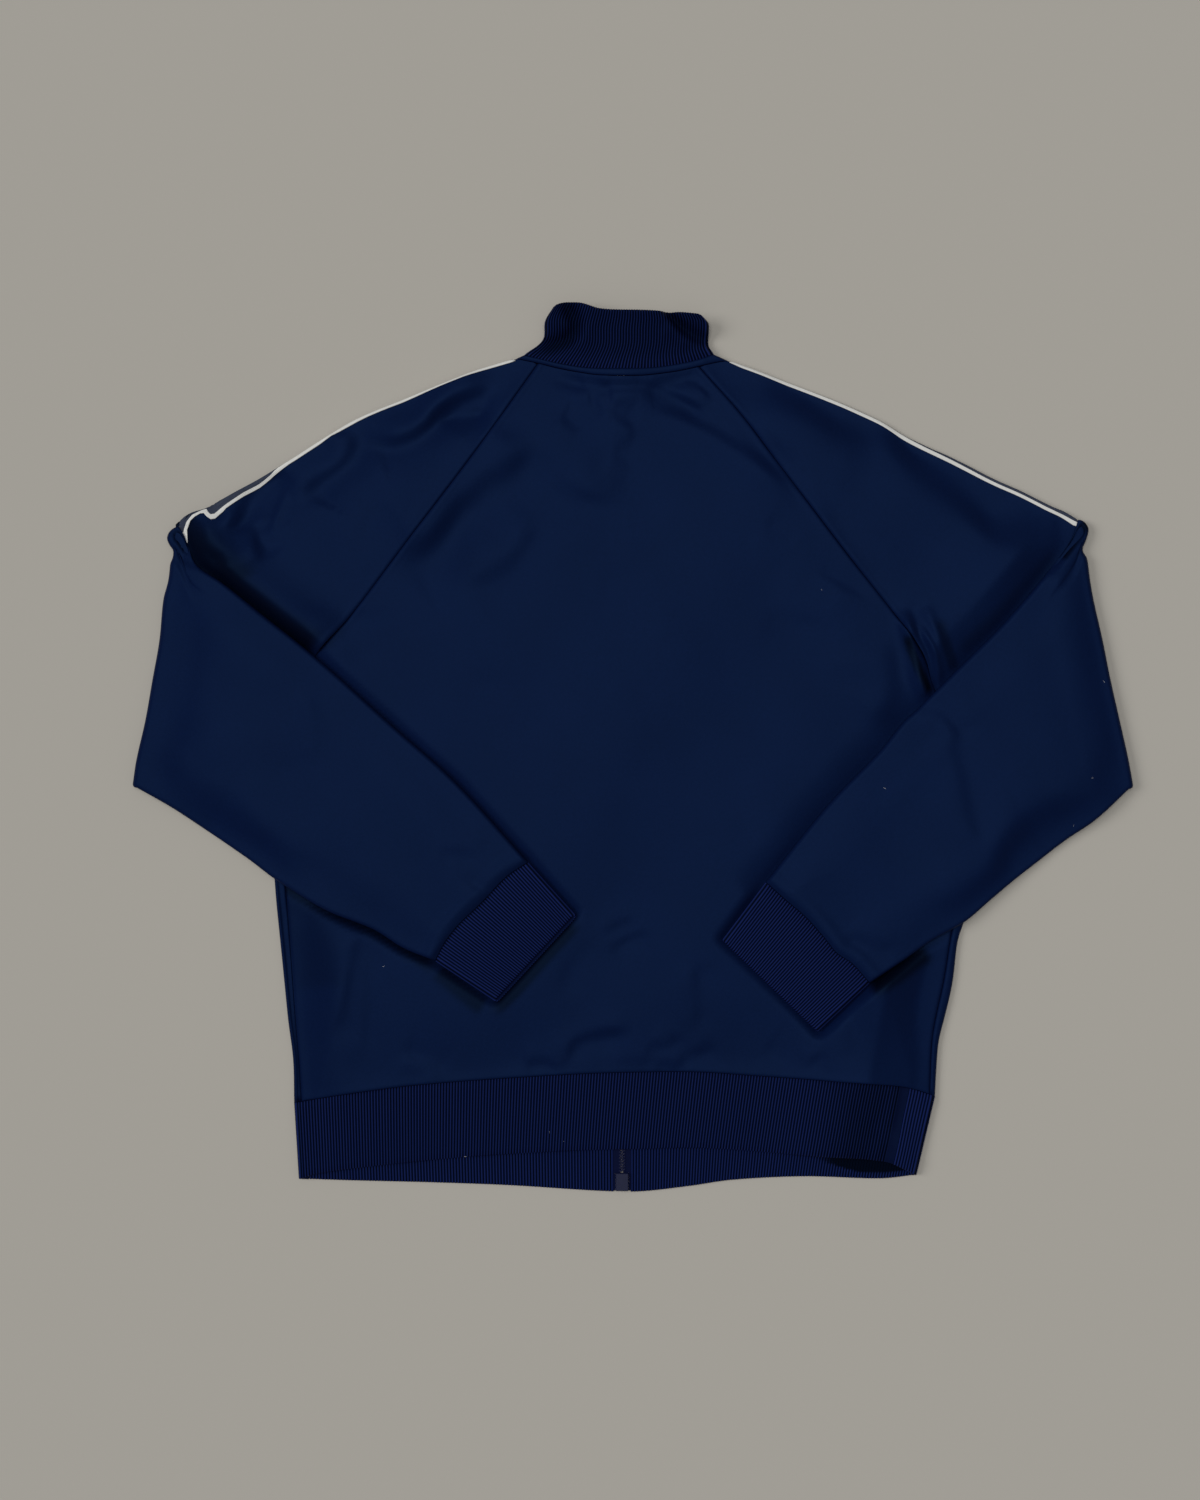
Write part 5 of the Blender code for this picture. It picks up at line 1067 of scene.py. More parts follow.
class Sleeve:
    """One sleeve's plan and heights, from the raglan seam round the elbow fold to the cuff seam."""

    def __init__(self, side):
        self.side = side
        sign = SIGN[side]
        raglan, front_raglan = Line(RAGLAN[side]), Line(FRONT_RAGLAN[side])
        neck, front_neck = Line(BAND_LOW), Line(FRONT_BAND_LOW[side])
        corner = neck.nearest(raglan.points[-1])
        front_corner = front_neck.nearest(front_raglan.points[-1])
        edge_end = np.array(SIDE_EDGE[side][-1])
        start = 0.0 if sign < 0.0 else 1.0
        steps = np.linspace(0.0, 1.0, 50)
        back = chain(neck(mix(start, corner, steps[::4])), raglan(1.0 - steps)[1:], edge_end[None])
        front_start = front_neck(mix(0.0, front_corner, steps[::4]))
        front = chain(front_start, front_raglan(1.0 - steps)[1:], edge_end[None])
        self.back = Line(moved(back.points, sign * HALF_GAP))
        self.front = Line(moved(front.points, sign * HALF_GAP))
        self.fold = Line(FOLD[side])
        run = self.fold.points[-1] - self.fold.points[0]
        run /= np.hypot(*run)
        self.out = np.array((run[1], -run[0]))
        if self.out[0] * sign < 0.0:
            self.out = -self.out
        axis_ends = [self.axis(np.array(k)) for k in (0.0, 1.0)]
        self.shoulder = Line((self.back.points[0], *SHOULDER[side][1:-1], axis_ends[0]))
        self.underarm = Line((self.back.points[-1], *UNDERARM[side][1:-1], axis_ends[1]))
        self.forearm_top = Line((axis_ends[0], *FOREARM_TOP[side][1:]))
        self.forearm_low = Line((axis_ends[1], *FOREARM_LOW[side][1:]))
        self.cuff_seam = Line(CUFF_SEAM[side])

    def axis_height(self, w):
        place = self.fold(w) - self.out * LOFT
        return plain_top(place[..., 0], place[..., 1]) + 0.5 * LAYER_GAP

    def axis(self, w):
        return self.fold(w) - self.out * self.axis_height(w)[..., None]

    def upper(self, s, w, front, share, away):
        """Places on the upper arm."""
        back_plan = patch(self.back, self.axis, self.shoulder, self.underarm, s, w)
        front_plan = patch(self.front, self.axis, self.shoulder, self.underarm, s, w)
        plan = np.where(front[..., None], front_plan, back_plan)
        return with_height(plan, self.upper_height(plan, share, away))

    def upper_height(self, plan, share, away):
        room = TAPE_ROOM * (1.0 - smooth((away - TAPE_ROOM_WIDTH - 1.5) / 6.0))
        high = top(plan[..., 0], plan[..., 1], UPPER_ARM_CREASES[self.side])
        return mix(room, high, share)

    def forearm_height(self, plan, share):
        sizes = settings().sizes
        x, y = plan[..., 0], plan[..., 1]
        low = resting(x, y)
        away = away_from([FOREARM_TOP[self.side], FOREARM_LOW[self.side]], x, y)
        end = measure(self.cuff_seam.fine(40), x, y)[0]
        thick = mix(FOREARM_EDGE_LOFT, FOREARM_LOFT, smooth(away / 40.0))
        thick = np.minimum(thick, mix(FOREARM_EDGE_LOFT + 0.8, FOREARM_LOFT, smooth(end / 50.0)))
        loose = smooth(away / 26.0) * smooth(end / 18.0)
        relief = creases(FOREARM_CREASES[self.side], x, y)
        relief = relief + loose * undulation(x, y, 2.0 + SIGN[self.side])
        pucker = 0.28 * np.sin((x + y * SIGN[self.side]) / 2.6) * np.exp(-((end - 5.0) / 6.0) ** 2)
        drawn = 1.1 * np.exp(-((end / 1.8) ** 2)) - 1.3 * np.exp(-(((end - 7.0) / 4.2) ** 2))
        thick = np.maximum(thick + (relief + pucker) * sizes.crease_strength - drawn, FOREARM_LEAST_LOFT)
        return low + (1.0 - share) * thick

    def columns(self, width, count, radius):
        """Each ring's fractions across the flat tube, every column's share of the height, and whether the
        column is on the front."""
        width = np.asarray(width)
        near = (np.broadcast_to(radius, width.shape)[:, None] + np.array((0.0, 1.6, 4.0))) / width[:, None]
        middle = mix(near[:, -1:], 1.0 - near[:, -1:], np.linspace(0.0, 1.0, count))
        face = np.concatenate((near[:, :-1], middle, 1.0 - near[:, -2::-1]), axis=1)
        angles = np.radians(np.linspace(0.0, 180.0, EDGE_COLUMNS + 2)[1:-1])
        inset = near[:, :1] * (1.0 - np.sin(angles))
        across = np.concatenate((face, 1.0 - inset, face[:, ::-1], inset[:, ::-1]), axis=1)
        share = 0.5 + 0.5 * np.cos(angles)
        faces = face.shape[1]
        shares = np.concatenate((np.ones(faces), share, np.zeros(faces), share[::-1]))
        front = np.concatenate((
            np.zeros(faces, bool), share < 0.5, np.ones(faces, bool), share[::-1] < 0.5
        ))
        return across, shares, front

    def rings(self):
        """The whole tube's points, ring by ring. The elbow's end of the upper arm has no seam rows."""
        s = graded(UPPER_ARM_LENGTH, UPPER_ARM_ROWS, SEAM_ROWS)[:1 - len(SEAM_ROWS)]
        width = np.hypot(*(self.shoulder(s) - self.underarm(s)).T)
        width = mix(self.back.length, width, smooth(s / 0.14))
        across, shares, front = self.columns(width, SLEEVE_COLUMNS, EDGE_ROUND)
        shape = across.shape
        self.shares = shares
        upper = self.upper(
            np.broadcast_to(s[:, None], shape), across, np.broadcast_to(front, shape),
            np.broadcast_to(shares, shape), across * width[:, None],
        )
        self.upper_steps = s
        turned = self.turned(np.linspace(0.0, 180.0, ELBOW_ROWS + 1)[1:], across[-1], width[-1])
        f = graded(FOREARM_LENGTH, FOREARM_ROWS, CUFF_ROWS)[len(CUFF_ROWS) - 1:]
        width = np.hypot(*(self.forearm_top(f) - self.forearm_low(f)).T)
        radius = mix(EDGE_ROUND, FOREARM_ROUND, smooth(f / 0.2))
        across, shares, front = self.columns(width, SLEEVE_COLUMNS, radius)
        plan = patch(
            self.axis, self.cuff_seam, self.forearm_top, self.forearm_low,
            np.broadcast_to(f[:, None], across.shape), across,
        )
        height = self.forearm_height(plan, np.broadcast_to(shares, across.shape))
        height = mix(turned[-1, :, 2], height, smooth(f / 0.14)[:, None])
        slits = creases(NUB_CREASES[self.side], plan[..., 0], plan[..., 1])
        height = height + (1.0 - shares) * slits * settings().sizes.crease_strength
        return np.concatenate((upper, turned, with_height(plan, height)))

    def turned(self, angles, across, width):
        """Places on the elbow's fold, turned round its axis."""
        plan = self.axis(across)
        middle = self.axis_height(across)
        radius = middle - self.upper_height(plan, self.shares, across * width)
        turn = np.radians(angles)[:, None]
        places = plan + self.out * (radius * np.sin(turn))[..., None]
        return with_height(places, middle - radius * np.cos(turn))


SLEEVES = {}


def build_sleeve(side):
    sleeve = Sleeve(side)
    sleeve.grid = sleeve.rings()
    SLEEVES[side] = sleeve
    arm = len(sleeve.upper_steps)
    x, y = sleeve.grid[..., 0], sleeve.grid[..., 1]
    on_elbow = np.arange(len(x) - arm)[:, None] < ELBOW_ROWS
    # Painted shade, carried by the closed attribute: in the hollows on the upper arm, and in the nubs' slits.
    closed = np.concatenate((
        sleeve.shares * painted_hollow_shade(PAINTED_HOLLOWS, x[:arm], y[:arm]),
        np.where(on_elbow, 1.0, 1.0 - sleeve.shares) * painted_hollow_shade(NUB_PAINTED_HOLLOWS[side], x[arm:], y[arm:]),
    ))
    made = cloth(
        "sleeve_" + side + "_knit", sleeve.grid, double_knit(), settings().sizes.knit_thickness,
        closed=True, flip=side == "left", attributes={"closed": closed},
    )
    dress(made, "sleeve_" + side)


def build_tape(side):
    """The tape follows the shoulder edge, a little off the sleeve's own points."""
    sizes = settings().sizes
    sleeve = SLEEVES[side]
    steps = sleeve.upper_steps
    keep = (steps > 0.008) & (steps < 0.99)
    rings = sleeve.grid[:len(steps)]
    face = len(sleeve.shares) // 2 - EDGE_COLUMNS
    over = np.arange(TAPE_OVER)
    turn = 2 * face + EDGE_COLUMNS + np.arange(EDGE_COLUMNS)
    under = np.arange(face + EDGE_COLUMNS, 2 * face + EDGE_COLUMNS)[-TAPE_UNDER:]
    path = np.concatenate((over[::-1], turn[::-1], under[::-1]))
    width = sizes.tape_width / MM
    shoulder = sleeve.shoulder.fine(300)
    across = np.linspace(0.0, 1.0, 41)
    edge_steps, edge_places = np.array(TAPE_EDGE[side]).T
    # A column that lies over the tape, and how much longer the way to it is round the edge than in plan
    probe, round_the_edge = 6, 1.7
    rows = []
    for ring, s in zip(rings[keep], steps[keep]):
        line = ring[path]
        reach = np.append(0.0, np.cumsum(np.linalg.norm(np.diff(line, axis=0), axis=1)))
        edge = reach[TAPE_OVER + EDGE_COLUMNS // 2]
        begin = np.interp(s, edge_steps, edge_places)
        # The ring crosses the edge at a slant near the elbow, so steps along it are longer there.
        away = measure(shoulder, ring[probe, 0], ring[probe, 1])[0]
        slant = away / (edge - reach[TAPE_OVER - 1 - probe] - round_the_edge)
        q = edge + (begin + width * across) / np.clip(slant, 0.3, 1.0)
        rows.append(np.stack([np.interp(q, reach, line[:, k]) for k in range(3)], axis=-1))
    grid = np.array(rows)
    normal = surface_normals(grid) * SIGN[side]
    grid = grid + normal * (0.2 + sizes.tape_thickness / MM)
    grid[..., 2] = np.maximum(grid[..., 2], 0.02)
    share = np.broadcast_to(across, grid.shape[:2])
    made = cloth(
        "sleeve_tape_" + side + "_woven", grid, woven_tape(), sizes.tape_thickness,
        flip=side == "right", attributes={"across": share},
    )
    dress(made, "sleeve_tape_" + side)


# The ribbed pieces


def relief_of(phase):
    """A rib's height over its middle, from -0.5 in a furrow to 0.5 on a crest."""
    return 0.5 * np.cos(2.0 * math.pi * phase)


def rib_sizes():
    """Pitch, relief and wall of the rib cloth, in millimetres."""
    sizes = settings().sizes
    return sizes.rib_pitch / MM, sizes.rib_relief / MM, sizes.rib_wall / MM


def rib_walls(rows, ribs, wall, place):
    """A rib piece's columns of points, down its outside and back up its inside. place gives the plan and the
    height of a row, for a wall at a depth with a lift of its own."""
    outer, inner = (
        np.stack([with_height(*place(r, depth, lift)) for r in rows], axis=1)
        for depth, lift in ((0.0, ribs), (wall, 0.0 * ribs))
    )
    return fold_over(outer, inner)


def build_cuff(side):
    """A ribbed cuff: a flat tube from the cuff seam to its open end."""
    pitch, relief, wall = rib_sizes()
    seam, end = Line(CUFF_SEAM[side]), np.array(CUFF_END[side])
    along = end[0] - seam.points[0]
    along /= np.hypot(*along)
    seam_width = np.hypot(*(seam.points[-1] - seam.points[0]))
    end_width = np.hypot(*(end[1] - end[0]))
    ribs = int(round(0.5 * (seam_width + end_width) / pitch))
    face = np.arange(ribs * RIB_COLUMNS) / (ribs * RIB_COLUMNS)
    turns = np.linspace(0.0, 180.0, 19)[:-1]
    fraction = np.concatenate((face, np.ones(turns.size), 1.0 - face, np.zeros(turns.size)))
    angle = np.concatenate((np.zeros(face.size), turns, np.full(face.size, 180.0), 180.0 - turns))
    turning = np.tile(np.repeat((False, True), (face.size, turns.size)), 2)
    phase = np.concatenate((face * ribs, turns / 60.0, face * ribs, turns / 60.0))
    turn = np.radians(angle)
    rows = np.concatenate((np.linspace(0.0, 1.0, 12)[:-1], (0.965, 1.0)))

    def place(r, depth, lift):
        width = mix(seam_width, end_width, r)
        radius = RIB_ROUND - depth + lift
        flat = mix(RIB_ROUND / width, 1.0 - RIB_ROUND / width, fraction)
        inset = (RIB_ROUND - radius * np.sin(turn)) / width
        t = np.where(turning, np.where(fraction < 0.5, inset, 1.0 - inset), flat)
        plan = mix(seam(t), mix(end[0], end[1], t[:, None]), r)
        peek = CUFF_PEEK[side] * (0.5 - 0.5 * np.cos(turn))
        plan = plan + along * (mix(0.5, 0.0, r) + peek * smooth((r - 0.4) / 0.6))[:, None]
        drawn = 1.3 * math.exp(-((r / 0.05) ** 2)) - 0.5 * math.sin(math.pi * min(r / 0.9, 1.0))
        loft = CUFF_LOFT - drawn * (np.cos(turn) > -0.5)
        half = 0.5 * loft - depth + lift
        return plan, resting(plan[:, 0], plan[:, 1]) + 0.5 * loft + half * np.cos(turn)

    grid = rib_walls(rows, relief * relief_of(phase), wall, place)
    made = rib_object(
        "cuff_" + side + "_rib", grid, phase, rows.size, closed=True, flip=side == "left", tone_and_painted_shade=0.1
    )
    dress(made, "cuff_" + side)


def rib_object(name, grid, phase, outer_rows, closed=False, flip=False, inner_ribs=False, tone_and_painted_shade=0.0):
    """A ribbed piece from columns of points, each down its outside and back up its inside. Its rib attribute
    carries painted light on the crests and painted shade in the furrows. A piece whose ribs lie closer or
    wider has a darker or lighter tone, and painted shade is added to the tone in places."""
    columns, rows = grid.shape[:2]
    grid[..., 2] = np.maximum(grid[..., 2], 0.0)
    # Painted light on the crests and painted shade in the furrows, shifted by the tone and its painted shade
    painted_rib_light = np.broadcast_to(0.5 + relief_of(phase)[:, None] + tone_and_painted_shade, (columns, rows)).copy()
    if not inner_ribs:
        painted_rib_light[:, outer_rows + 3:] = 0.45
    faces = grid_faces(columns, rows, flip=flip)
    if closed:
        # The last column joins the first.
        join = grid_faces(2, rows, flip=flip)
        faces = np.concatenate((faces, np.where(join < rows, join + (columns - 1) * rows, join - rows)))
    return make_object(name, grid, faces, rib_knit(), {"rib": painted_rib_light})


class HemLine:
    """A hem band's seam and free edge, read by the same fraction across."""

    def __init__(self, seam, edge):
        self.seam, self.edge = Line(seam), Line(edge)

    def place(self, t, r):
        return mix(self.seam(t), self.edge(t), np.asarray(r)[..., None])


def build_hem_back():
    """The back's hem band. It turns under at the wearer's left, and ends in a plain strip at the right."""
    pitch, relief, wall = rib_sizes()
    back, front = HemLine(BACK_HEM_SEAM, BACK_HEM_EDGE), HemLine(FRONT_HEM_SEAM, FRONT_HEM_EDGE)
    start = RIB_ROUND / HEM_WIDTH
    ribs = int(round((PLAIN_STRIP[0] - start) * HEM_CURVE / pitch))
    turn_under = np.linspace(HEM_TURN_UNDER, RIB_ROUND + 0.5, 8) / HEM_WIDTH
    angles = np.radians(np.linspace(180.0, 0.0, 16))
    face = np.linspace(start, PLAIN_STRIP[0], ribs * RIB_COLUMNS + 1)[1:]
    strip = np.linspace(PLAIN_STRIP[0], PLAIN_STRIP[1], 9)[1:]
    # The columns in turn: turned under, round the edge, ribbed, plain strip
    counts = (turn_under.size, angles.size, face.size, strip.size)
    round_edge = np.repeat((False, True, False, False), counts)
    ribbed = np.repeat((False, True, True, False), counts)
    t_all = np.concatenate((turn_under, np.zeros(angles.size), face, strip))
    turn = np.concatenate((np.full(turn_under.size, math.pi), angles, np.zeros(face.size + strip.size)))
    phase = np.concatenate([np.arange(count) / RIB_COLUMNS for count in counts[:3]] + [np.zeros(strip.size)])
    rows = np.concatenate(((0.0, 0.02, 0.045, 0.08), np.linspace(0.14, 1.0, 12)))

    def place(r, depth, lift):
        radius = RIB_ROUND - depth + lift
        t = np.where(round_edge, (RIB_ROUND - radius * np.sin(turn)) / HEM_WIDTH, t_all)
        share = 0.5 + 0.5 * np.cos(turn)
        over, under = back.place(t, r), front.place(t, r)
        plan = np.where((np.cos(turn) > 0.0)[:, None], over, under)
        plan = np.where(round_edge[:, None], mix(under, over, share[:, None]), plan)
        loft = HEM_LOFT + (hem_relief(plan) - hem_drop(plan, r)) * share
        half = 0.5 * loft - depth + lift
        return plan, 0.5 * loft + half * np.cos(turn)

    grid = rib_walls(rows, relief * relief_of(phase) * ribbed, wall, place)
    crest_phase = np.where(ribbed, phase, 0.25)
    # Painted shade, darker towards the fold beside the strip where the band bends down. The columns without
    # ribs are a little darker throughout.
    tone_and_fold_shade = np.where(ribbed, smooth((t_all * HEM_WIDTH - 400.0) / 60.0) * (turn < 0.1), 0.3)
    made = rib_object("hem_back_rib", grid, crest_phase, rows.size, tone_and_painted_shade=-0.2 * tone_and_fold_shade[:, None])
    dress(made, "hem_back")


def hem_relief(plan):
    """Creases on the hem, no deeper than its own cloth lets them."""
    relief = creases(HEM_CREASES, plan[..., 0], plan[..., 1]) * settings().sizes.crease_strength
    return np.maximum(relief, -0.3)


def hem_drop(plan, r):
    """The hem is drawn in at its seam, and lies a little uneven along its length."""
    x = plan[..., 0]
    drawn = 0.9 * np.exp(-((r / 0.03) ** 2))
    uneven = 0.3 * np.sin(x / 37.0 + 0.6) + 0.18 * np.sin(x / 15.0 + 2.0)
    return drawn - uneven * math.sin(math.pi * r) - 0.2 * r


def build_hem_front(side):
    """A front hem band, ribbed on the inner face that shows below the back's band. The right one turns up
    round the side's edge, as far as the plain strip."""
    sign = SIGN[side]
    pitch, relief, wall = rib_sizes()
    back, front = HemLine(BACK_HEM_SEAM, BACK_HEM_EDGE), HemLine(FRONT_HEM_SEAM, FRONT_HEM_EDGE)
    centre_x = ZIP_X + sign * 0.5 * ZIP_RECESS
    seam_step, edge_step = front.seam.at_x(centre_x), front.edge.at_x(centre_x)
    last_t = 1.0 - RIB_ROUND / HEM_WIDTH
    far = (HEM_TURN_UNDER + 0.3) / HEM_WIDTH if side == "left" else last_t
    ribs = int(round(abs(far - seam_step) * HEM_WIDTH / pitch))
    u = np.linspace(0.0, 1.0, ribs * RIB_COLUMNS + 1)
    angles = np.radians(np.linspace(180.0, 0.0, 16)[1:])
    stop = PLAIN_STRIP[1] + 0.3 / HEM_WIDTH
    top_ribs = (last_t - stop) * HEM_WIDTH / pitch
    top_t = np.linspace(last_t, stop, int(top_ribs * RIB_COLUMNS) + 1)[1:]
    if side == "left":
        angles, top_t = angles[:0], top_t[:0]
    # The columns in turn: on the ground, round the edge, on the back
    counts = (u.size, angles.size, top_t.size)
    lower, on_back = np.repeat((True, False, False), counts), np.repeat((False, False, True), counts)
    turn = np.concatenate((np.full(u.size, math.pi), angles, np.zeros(top_t.size)))
    t_back = np.concatenate((np.zeros(u.size + angles.size), top_t))
    flat_u = np.concatenate((u, np.zeros(angles.size + top_t.size)))
    phase = u * ribs + 0.5
    phase = np.concatenate((phase, phase[-1] + np.arange(1, 1 + angles.size + top_t.size) / RIB_COLUMNS))
    rows = np.concatenate(((0.0, 0.02, 0.045, 0.08), np.linspace(0.16, 0.7, 6), np.linspace(0.76, 1.0, 9)))
    height_of_ribs = relief * relief_of(phase)

    def place(r, depth, lift):
        flat_plan = mix(
            front.seam(mix(seam_step, far, flat_u)), front.edge(mix(edge_step, far, flat_u)), r
        )
        flat_z = wall - 0.4 + height_of_ribs if depth else 0.12 + 0.5 * height_of_ribs
        radius = RIB_ROUND - depth + lift
        t = np.where(on_back, t_back, 1.0 - (RIB_ROUND - radius * np.sin(turn)) / HEM_WIDTH)
        share = 0.5 + 0.5 * np.cos(turn)
        over = back.place(t, r)
        plan = np.where(on_back[:, None], over, mix(front.place(t, r), over, share[:, None]))
        loft = HEM_LOFT + (hem_relief(plan) - hem_drop(plan, r)) * share
        half = 0.5 * loft - depth + lift
        z = np.where(lower, flat_z, 0.5 * loft + half * np.cos(turn))
        return np.where(lower[:, None], flat_plan, plan), z

    grid = rib_walls(rows, height_of_ribs, wall, place)
    # Painted shade inside the open corner: over the rim, the colour is darkened close to black. The rim lies
    # lower to the right.
    down = np.concatenate((rows, np.ones(3), rows[::-1]))
    x = grid[..., 0]
    rim = mix(0.79, 0.945, smooth((x - 136.0) / 55.0))
    shade = smooth((x - 146.0) / 24.0) * (1.0 - smooth((x - 221.0) / 8.0)) * smooth((rim - down) / 0.03)
    inner = (np.arange(down.size) > rows.size + 2) & (down > 0.4)
    shade = shade * inner * (lower & (side == "right"))[:, None]
    tone_and_painted_shade = np.where(on_back, 0.12, 0.06)[:, None] - shade
    made = rib_object(
        "hem_front_" + side + "_rib", grid, phase, rows.size, flip=side == "right", inner_ribs=True, tone_and_painted_shade=tone_and_painted_shade
    )
    dress(made, "hem_front_" + side)


# The neck


def neck_ring(inset_back, inset_front, back_steps, front_steps, turn_steps):
    """Stations round the neck from the zip's left to its right: part, step and height share."""
    part, step, share = [], [], []

    def add(which, t, high):
        part.extend([which] * len(t))
        step.extend(t)
        share.extend(high)

    angles = np.linspace(180.0, 0.0, turn_steps + 2)[1:-1]
    for side in SIDES:
        t = np.linspace(1.0, inset_front, front_steps)
        under = angles[angles > 90.0]
        over = angles[angles <= 90.0]
        low = inset_front * (1.0 - np.sin(np.radians(under)))
        high = inset_back * (1.0 - np.sin(np.radians(over)))
        low_share = 0.5 + 0.5 * np.cos(np.radians(under))
        high_share = 0.5 + 0.5 * np.cos(np.radians(over))
        if side == "left":
            add("left", t, np.zeros(t.size))
            add("left", low, low_share)
            add("back", high, high_share)
            add("back", np.linspace(inset_back, 1.0 - inset_back, back_steps), np.ones(back_steps))
        else:
            add("back", 1.0 - high[::-1], high_share[::-1])
            add("right", low[::-1], low_share[::-1])
            add("right", t[::-1], np.zeros(t.size))
    return np.array(part), np.array(step), np.array(share)


def neck_plan(part, step, back_line, front_table):
    """The stations' places on a line round the neck."""
    front_lines = {side: Line(front_table[side]) for side in SIDES}
    places = back_line(step)
    for side in SIDES:
        places = np.where((part == side)[:, None], front_lines[side](step), places)
    return places


def build_neck_band():
    """The narrow band of body cloth between the collar and the panels, open at the zip."""
    back_width, front_width = 172.0, 100.0
    part, step, share = neck_ring(EDGE_ROUND / back_width, EDGE_ROUND / front_width, 140, 60, 9)
    low = neck_plan(part, step, Line(BAND_LOW), FRONT_BAND_LOW)
    high = neck_plan(part, step, Line(BAND_TOP), FRONT_BAND_TOP)
    height = np.hypot(*(high - low).T)
    rows = []
    for r in (0.0, 0.1, 0.22, 0.36, 0.5, 0.64, 0.78, 0.9, 1.0):
        plan = mix(low, high, mix(HALF_GAP / height, 1.0 - HALF_GAP / height, r)[:, None])
        x, y = plan[:, 0], plan[:, 1]
        crown = 1.0 * math.sin(math.pi * r) ** 0.35 - 0.3
        full = plain_top(x, y) + mix(0.0, 0.5, r) + crown
        rows.append(with_height(plan, share * full))
    grid = np.stack(rows, axis=1)
    made = cloth("neck_band_knit", grid, double_knit(), settings().sizes.knit_thickness, flip=True)
    dress(made, "neck_band")


def build_collar():
    """The ribbed stand collar: a flat tube, open at the zip, its front half lower than its back."""
    pitch, relief, wall = rib_sizes()
    back_base, back_top = Line(BAND_TOP), Line(COLLAR_TOP)
    sides = {side: Line(COLLAR_FOLD[side]) for side in SIDES}
    width = COLLAR_WIDTH
    ribs = int(round((width - 2.0 * RIB_ROUND) / pitch))
    face = np.linspace(RIB_ROUND / width, 1.0 - RIB_ROUND / width, ribs * RIB_COLUMNS + 1)
    front = np.linspace(1.0, RIB_ROUND / COLLAR_FRONT_WIDTH, 31 * RIB_COLUMNS)
    angles = np.linspace(180.0, 0.0, 20)[1:-1]
    rows = np.concatenate(((0.0, 0.03, 0.07), np.linspace(0.13, 1.0, 16)))
    # The columns in turn: left front, left edge, back, right edge, right front
    counts = (front.size, angles.size, face.size, angles.size, front.size)
    kind = np.repeat(np.arange(5), counts)
    on_front, on_edge = np.isin(kind, (0, 4)), np.isin(kind, (1, 3))
    step = np.concatenate((front, np.zeros(angles.size), face, np.zeros(angles.size), front[::-1]))
    angle = np.where(on_front, 180.0, 0.0)
    angle[on_edge] = np.concatenate((angles, angles[::-1]))
    phase = np.concatenate([np.arange(count) / RIB_COLUMNS for count in counts])
    turn = np.radians(angle)
    on_back = (kind == 2) | (on_edge & (angle <= 90.0))

    def front_plan(side, r, t):
        base, high = Line(FRONT_BAND_TOP[side]), Line(FRONT_COLLAR_TOP[side])
        centre = lambda k: mix(base(np.array(1.0)), high(np.array(1.0)), np.asarray(k)[..., None])
        return patch(base, high, sides[side], centre, r, t)

    def place(r, depth, lift):
        inset = RIB_ROUND - (RIB_ROUND - depth + lift) * np.sin(turn)
        r_all = np.full(kind.size, r)
        t_edge = np.where(kind == 1, inset / width, 1.0 - inset / width)
        t_back = np.where(kind == 2, step, t_edge)
        t_front = np.where(on_front, step, inset / COLLAR_FRONT_WIDTH)
        over = patch(back_base, back_top, sides["left"], sides["right"], r_all, t_back)
        left, right = (front_plan(side, r_all, t_front) for side in SIDES)
        plan = np.where(on_back[:, None], over, np.where((kind <= 1)[:, None], left, right))
        x, y = plan[:, 0], plan[:, 1]
        drawn = 0.9 * math.exp(-((r / 0.05) ** 2))
        soft = creases(COLLAR_CREASES, x, y) * settings().sizes.crease_strength
        full = COLLAR_LOFT + neck_bump(x, y) + soft - drawn
        full = full + COLLAR_RISE * r ** 1.5 + 0.5 * np.sin(x / 13.0 + 1.0) * smooth((r - 0.3) / 0.7)
        full = np.maximum(full, 2.0 * wall + 0.4)
        half = 0.5 * full - depth + lift
        z_front = zip_lift(x, y) + (wall if depth else 0.1 + 0.4 * lift)
        return plan, np.where(on_front, z_front, 0.5 * full + half * np.cos(turn))

    grid = rib_walls(rows, relief * relief_of(phase), wall, place)
    # Painted shade: the collar's ribs are darkened all over, less near its seam and more in its folds.
    less_shade_near_seam = 1.0 - smooth(np.linspace(0.0, 1.0, grid.shape[1]) / 0.2)
    painted_fold_shade = np.minimum(creases(COLLAR_CREASES, grid[..., 0], grid[..., 1]), 0.0)
    tone_and_painted_shade = -0.15 + 0.14 * less_shade_near_seam[None, :] + 0.035 * painted_fold_shade
    made = rib_object("collar_rib", grid, phase, rows.size, flip=True, inner_ribs=True, tone_and_painted_shade=tone_and_painted_shade)
    dress(made, "collar")


# The zip


# One tooth in plan: a head in the middle of the zip, a narrow neck, and two shoulders on the strip
TOOTH = ((-0.55, -0.62), (0.15, -0.82), (0.75, -0.45), (1.3, -0.5), (2.7, -0.72),
         (2.7, 0.72), (1.3, 0.5), (0.75, 0.45), (0.15, 0.82), (-0.55, 0.62))
TOOTH_MIDDLE = 1.1


def flat_shaded(made):
    made.data.polygons.foreach_set("use_smooth", [False] * len(made.data.polygons))
    return made


